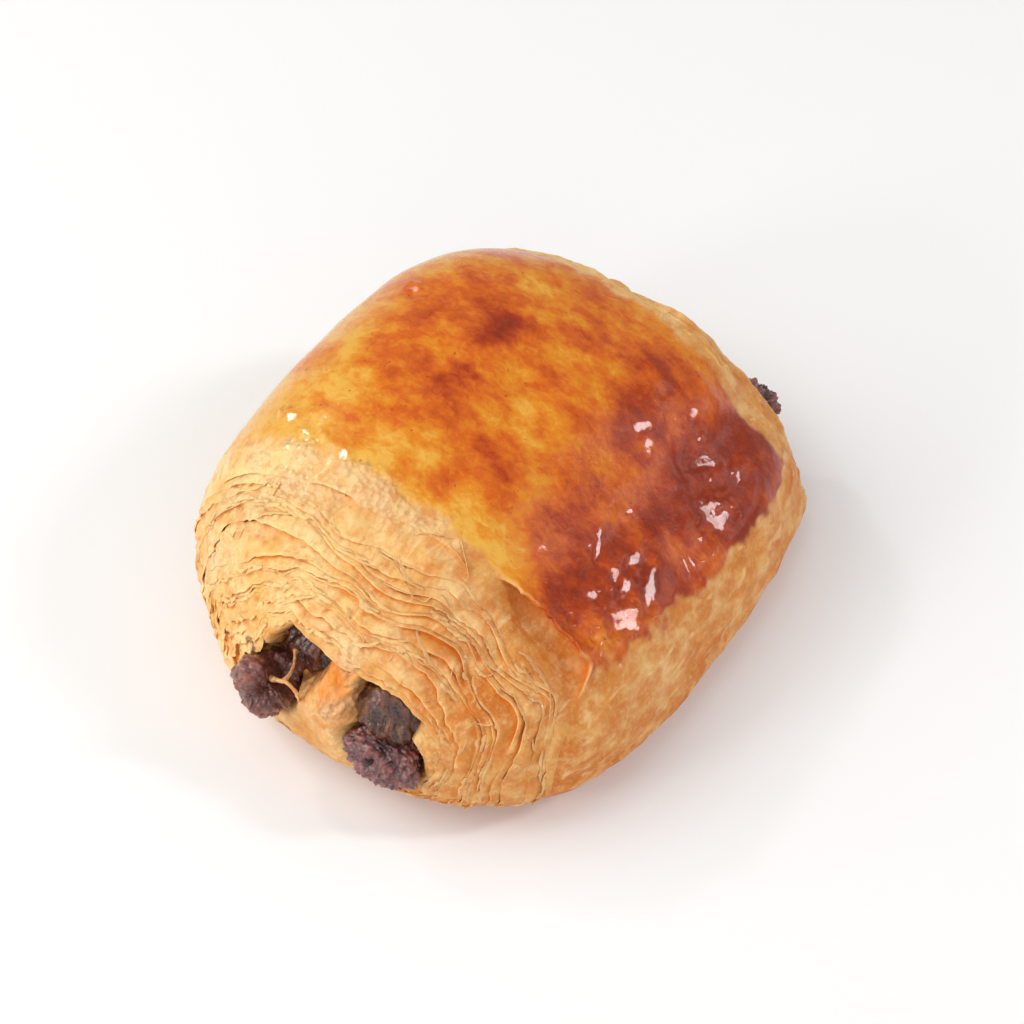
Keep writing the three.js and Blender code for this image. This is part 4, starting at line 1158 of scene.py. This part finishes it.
choc, nt, bs = new_material("baked_chocolate")
N = Net(nt)
g, melt, redder_and_lightened = N.attr("relief_shade"), N.attr("melt"), N.attr("redder_and_lightened")
base = N.mix(N.range(N.noise(2.2, 4), 0.35, 0.65), srgb(82, 35, 34), srgb(148, 84, 78))
# Left lump: a redder own tone, and lighter as painted light against the shade of its hollow.
base = N.mix(N.math("MULTIPLY", redder_and_lightened, 0.75), base, N.mix(N.range(N.noise(1.0, 4, 0.7), 0.35, 0.65), srgb(92, 42, 34), srgb(156, 88, 70)))
# Painted shade: the low parts of the relief between the nodules are darkened almost to black, half as much on the left
# lump.
base = N.mix(N.math("MULTIPLY", N.range(g, -0.7, 0.3, 0.80, 0.0), N.math("SUBTRACT", 1.0, N.math("MULTIPLY", redder_and_lightened, 0.5))), base, srgb(30, 10, 9))
soft_ = N.mix(N.range(N.noise(1.8, 4, 0.6, (1, 1, 0.35)), 0.35, 0.68), srgb(62, 25, 14), srgb(112, 56, 28))
# Painted shade in the grooves between strands of the melt.
soft_ = N.mix(N.range(g, -0.2, 0.7, 0.7, 0.0), soft_, srgb(40, 16, 10))
# Paler amber streaks, partly golden strands in the melt and partly painted highlight.
soft_ = N.mix(N.range(N.noise(2.6, 3, 0.6, (1, 1, 0.3)), 0.60, 0.74, 0, 0.45), soft_, srgb(180, 112, 52))
base = N.mix(melt, base, soft_)
nt.links.new(base, bs.inputs["Base Color"])
rg = N.range(N.noise(1.3, 3), 0.35, 0.62, 0.14, 0.50)
nt.links.new(N.math("SUBTRACT", rg, N.math("MULTIPLY", melt, 0.12), clamp=True), bs.inputs["Roughness"])
bs.inputs["Specular IOR Level"].default_value = 0.3
bs.inputs["Coat Weight"].default_value = 1.0
bs.inputs["Coat Roughness"].default_value = 0.07
bb = N.bump(N.noise(0.6, 4, 0.6), 0.8, 0.2)
nt.links.new(N.bump(N.noise(0.9, 2, 0.5), 0.9, 0.35), bs.inputs["Coat Normal"])
nt.links.new(bb, bs.inputs["Normal"])

for n_, ob in pieces.items():
    is_choc = n_.startswith("choc")
    ob.data.materials.append(choc if is_choc else flake if n_ == "torn_flakes" else dough)
    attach(ob, "root")
    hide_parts(n_.replace("_melt", "") if is_choc else "pastry")

# ================================================================ floor, light, camera
me = bpy.data.meshes.new("floor")
S = 3.0
me.from_pydata([(-S, -S, 0), (S, -S, 0), (S, S, 0), (-S, S, 0)], [], [(0, 1, 2, 3)])
floor = bpy.data.objects.new("floor", me)
bpy.context.collection.objects.link(floor)
fm, nt, bs = new_material("floor_white")
bs.inputs["Base Color"].default_value = (0.92, 0.92, 0.92, 1)
bs.inputs["Roughness"].default_value = 0.9
me.materials.append(fm)

target = Vector(AIM + SHIFT) * MM
f, r, up = Vector(VF), Vector(VR), Vector(VU)
cd = bpy.data.cameras.new("camera")
cd.sensor_width = 36
cd.lens = 36 * 2800 / 1024
cd.clip_start, cd.clip_end = 0.01, 20
cam = bpy.data.objects.new("camera", cd)
cam.matrix_world = Matrix(((r.x, up.x, -f.x, 0), (r.y, up.y, -f.y, 0), (r.z, up.z, -f.z, 0), (0, 0, 0, 1)))
cam.location = target - f * (DIST * MM)
bpy.context.collection.objects.link(cam)
bpy.context.scene.camera = cam


def area(name, direction, dist, size, power, color=(1, 1, 1), size_y=None):
    """A soft box in the given direction from the object, facing it."""
    d = Vector(direction).normalized()
    ld = bpy.data.lights.new(name, "AREA")
    ld.shape = "RECTANGLE"
    ld.size = size
    ld.size_y = size_y or size
    ld.energy = power
    ld.color = color
    ob = bpy.data.objects.new(name, ld)
    ob.location = d * dist + Vector((0, 0, 0.02))
    ob.rotation_euler = (-d).to_track_quat("-Z", "Y").to_euler()
    bpy.context.collection.objects.link(ob)
    return ob


def cam_dir(right, upw, back):
    return r * right + up * upw - f * back


area("key", (-0.62, -0.46, 0.64), 1.2, 0.85, 6.4, (1.0, 0.99, 0.96))
area("fill", cam_dir(0.10, -0.25, 1.0), 1.4, 1.2, 4.2)
area("top", (-0.10, -0.35, 1.0), 1.4, 0.8, 2.5)
area("gloss", Vector(LIGHT_AT), 0.9, 0.10, 1.6, (1.0, 0.96, 0.96), 0.16)
area("veil", Vector((0.62, 0.66, 0.42)), 1.2, 0.5, 0.6, (1.0, 0.88, 0.90), 0.3)
area("glint", Vector(GLINT_AT), 0.9, 0.07, 0.7, (1, 1, 1), 0.07)
area("sparkle", (-0.32, -0.86, 0.38), 0.8, 0.17, 1.1, (1, 1, 1), 0.13)
w = bpy.data.worlds.new("studio")
w.use_nodes = True
w.node_tree.nodes["Background"].inputs[0].default_value = (1, 1, 1, 1)
w.node_tree.nodes["Background"].inputs[1].default_value = 0.38
bpy.context.scene.world = w
bpy.context.scene.view_settings.view_transform = "Standard"
bpy.context.scene.view_settings.look = "None"
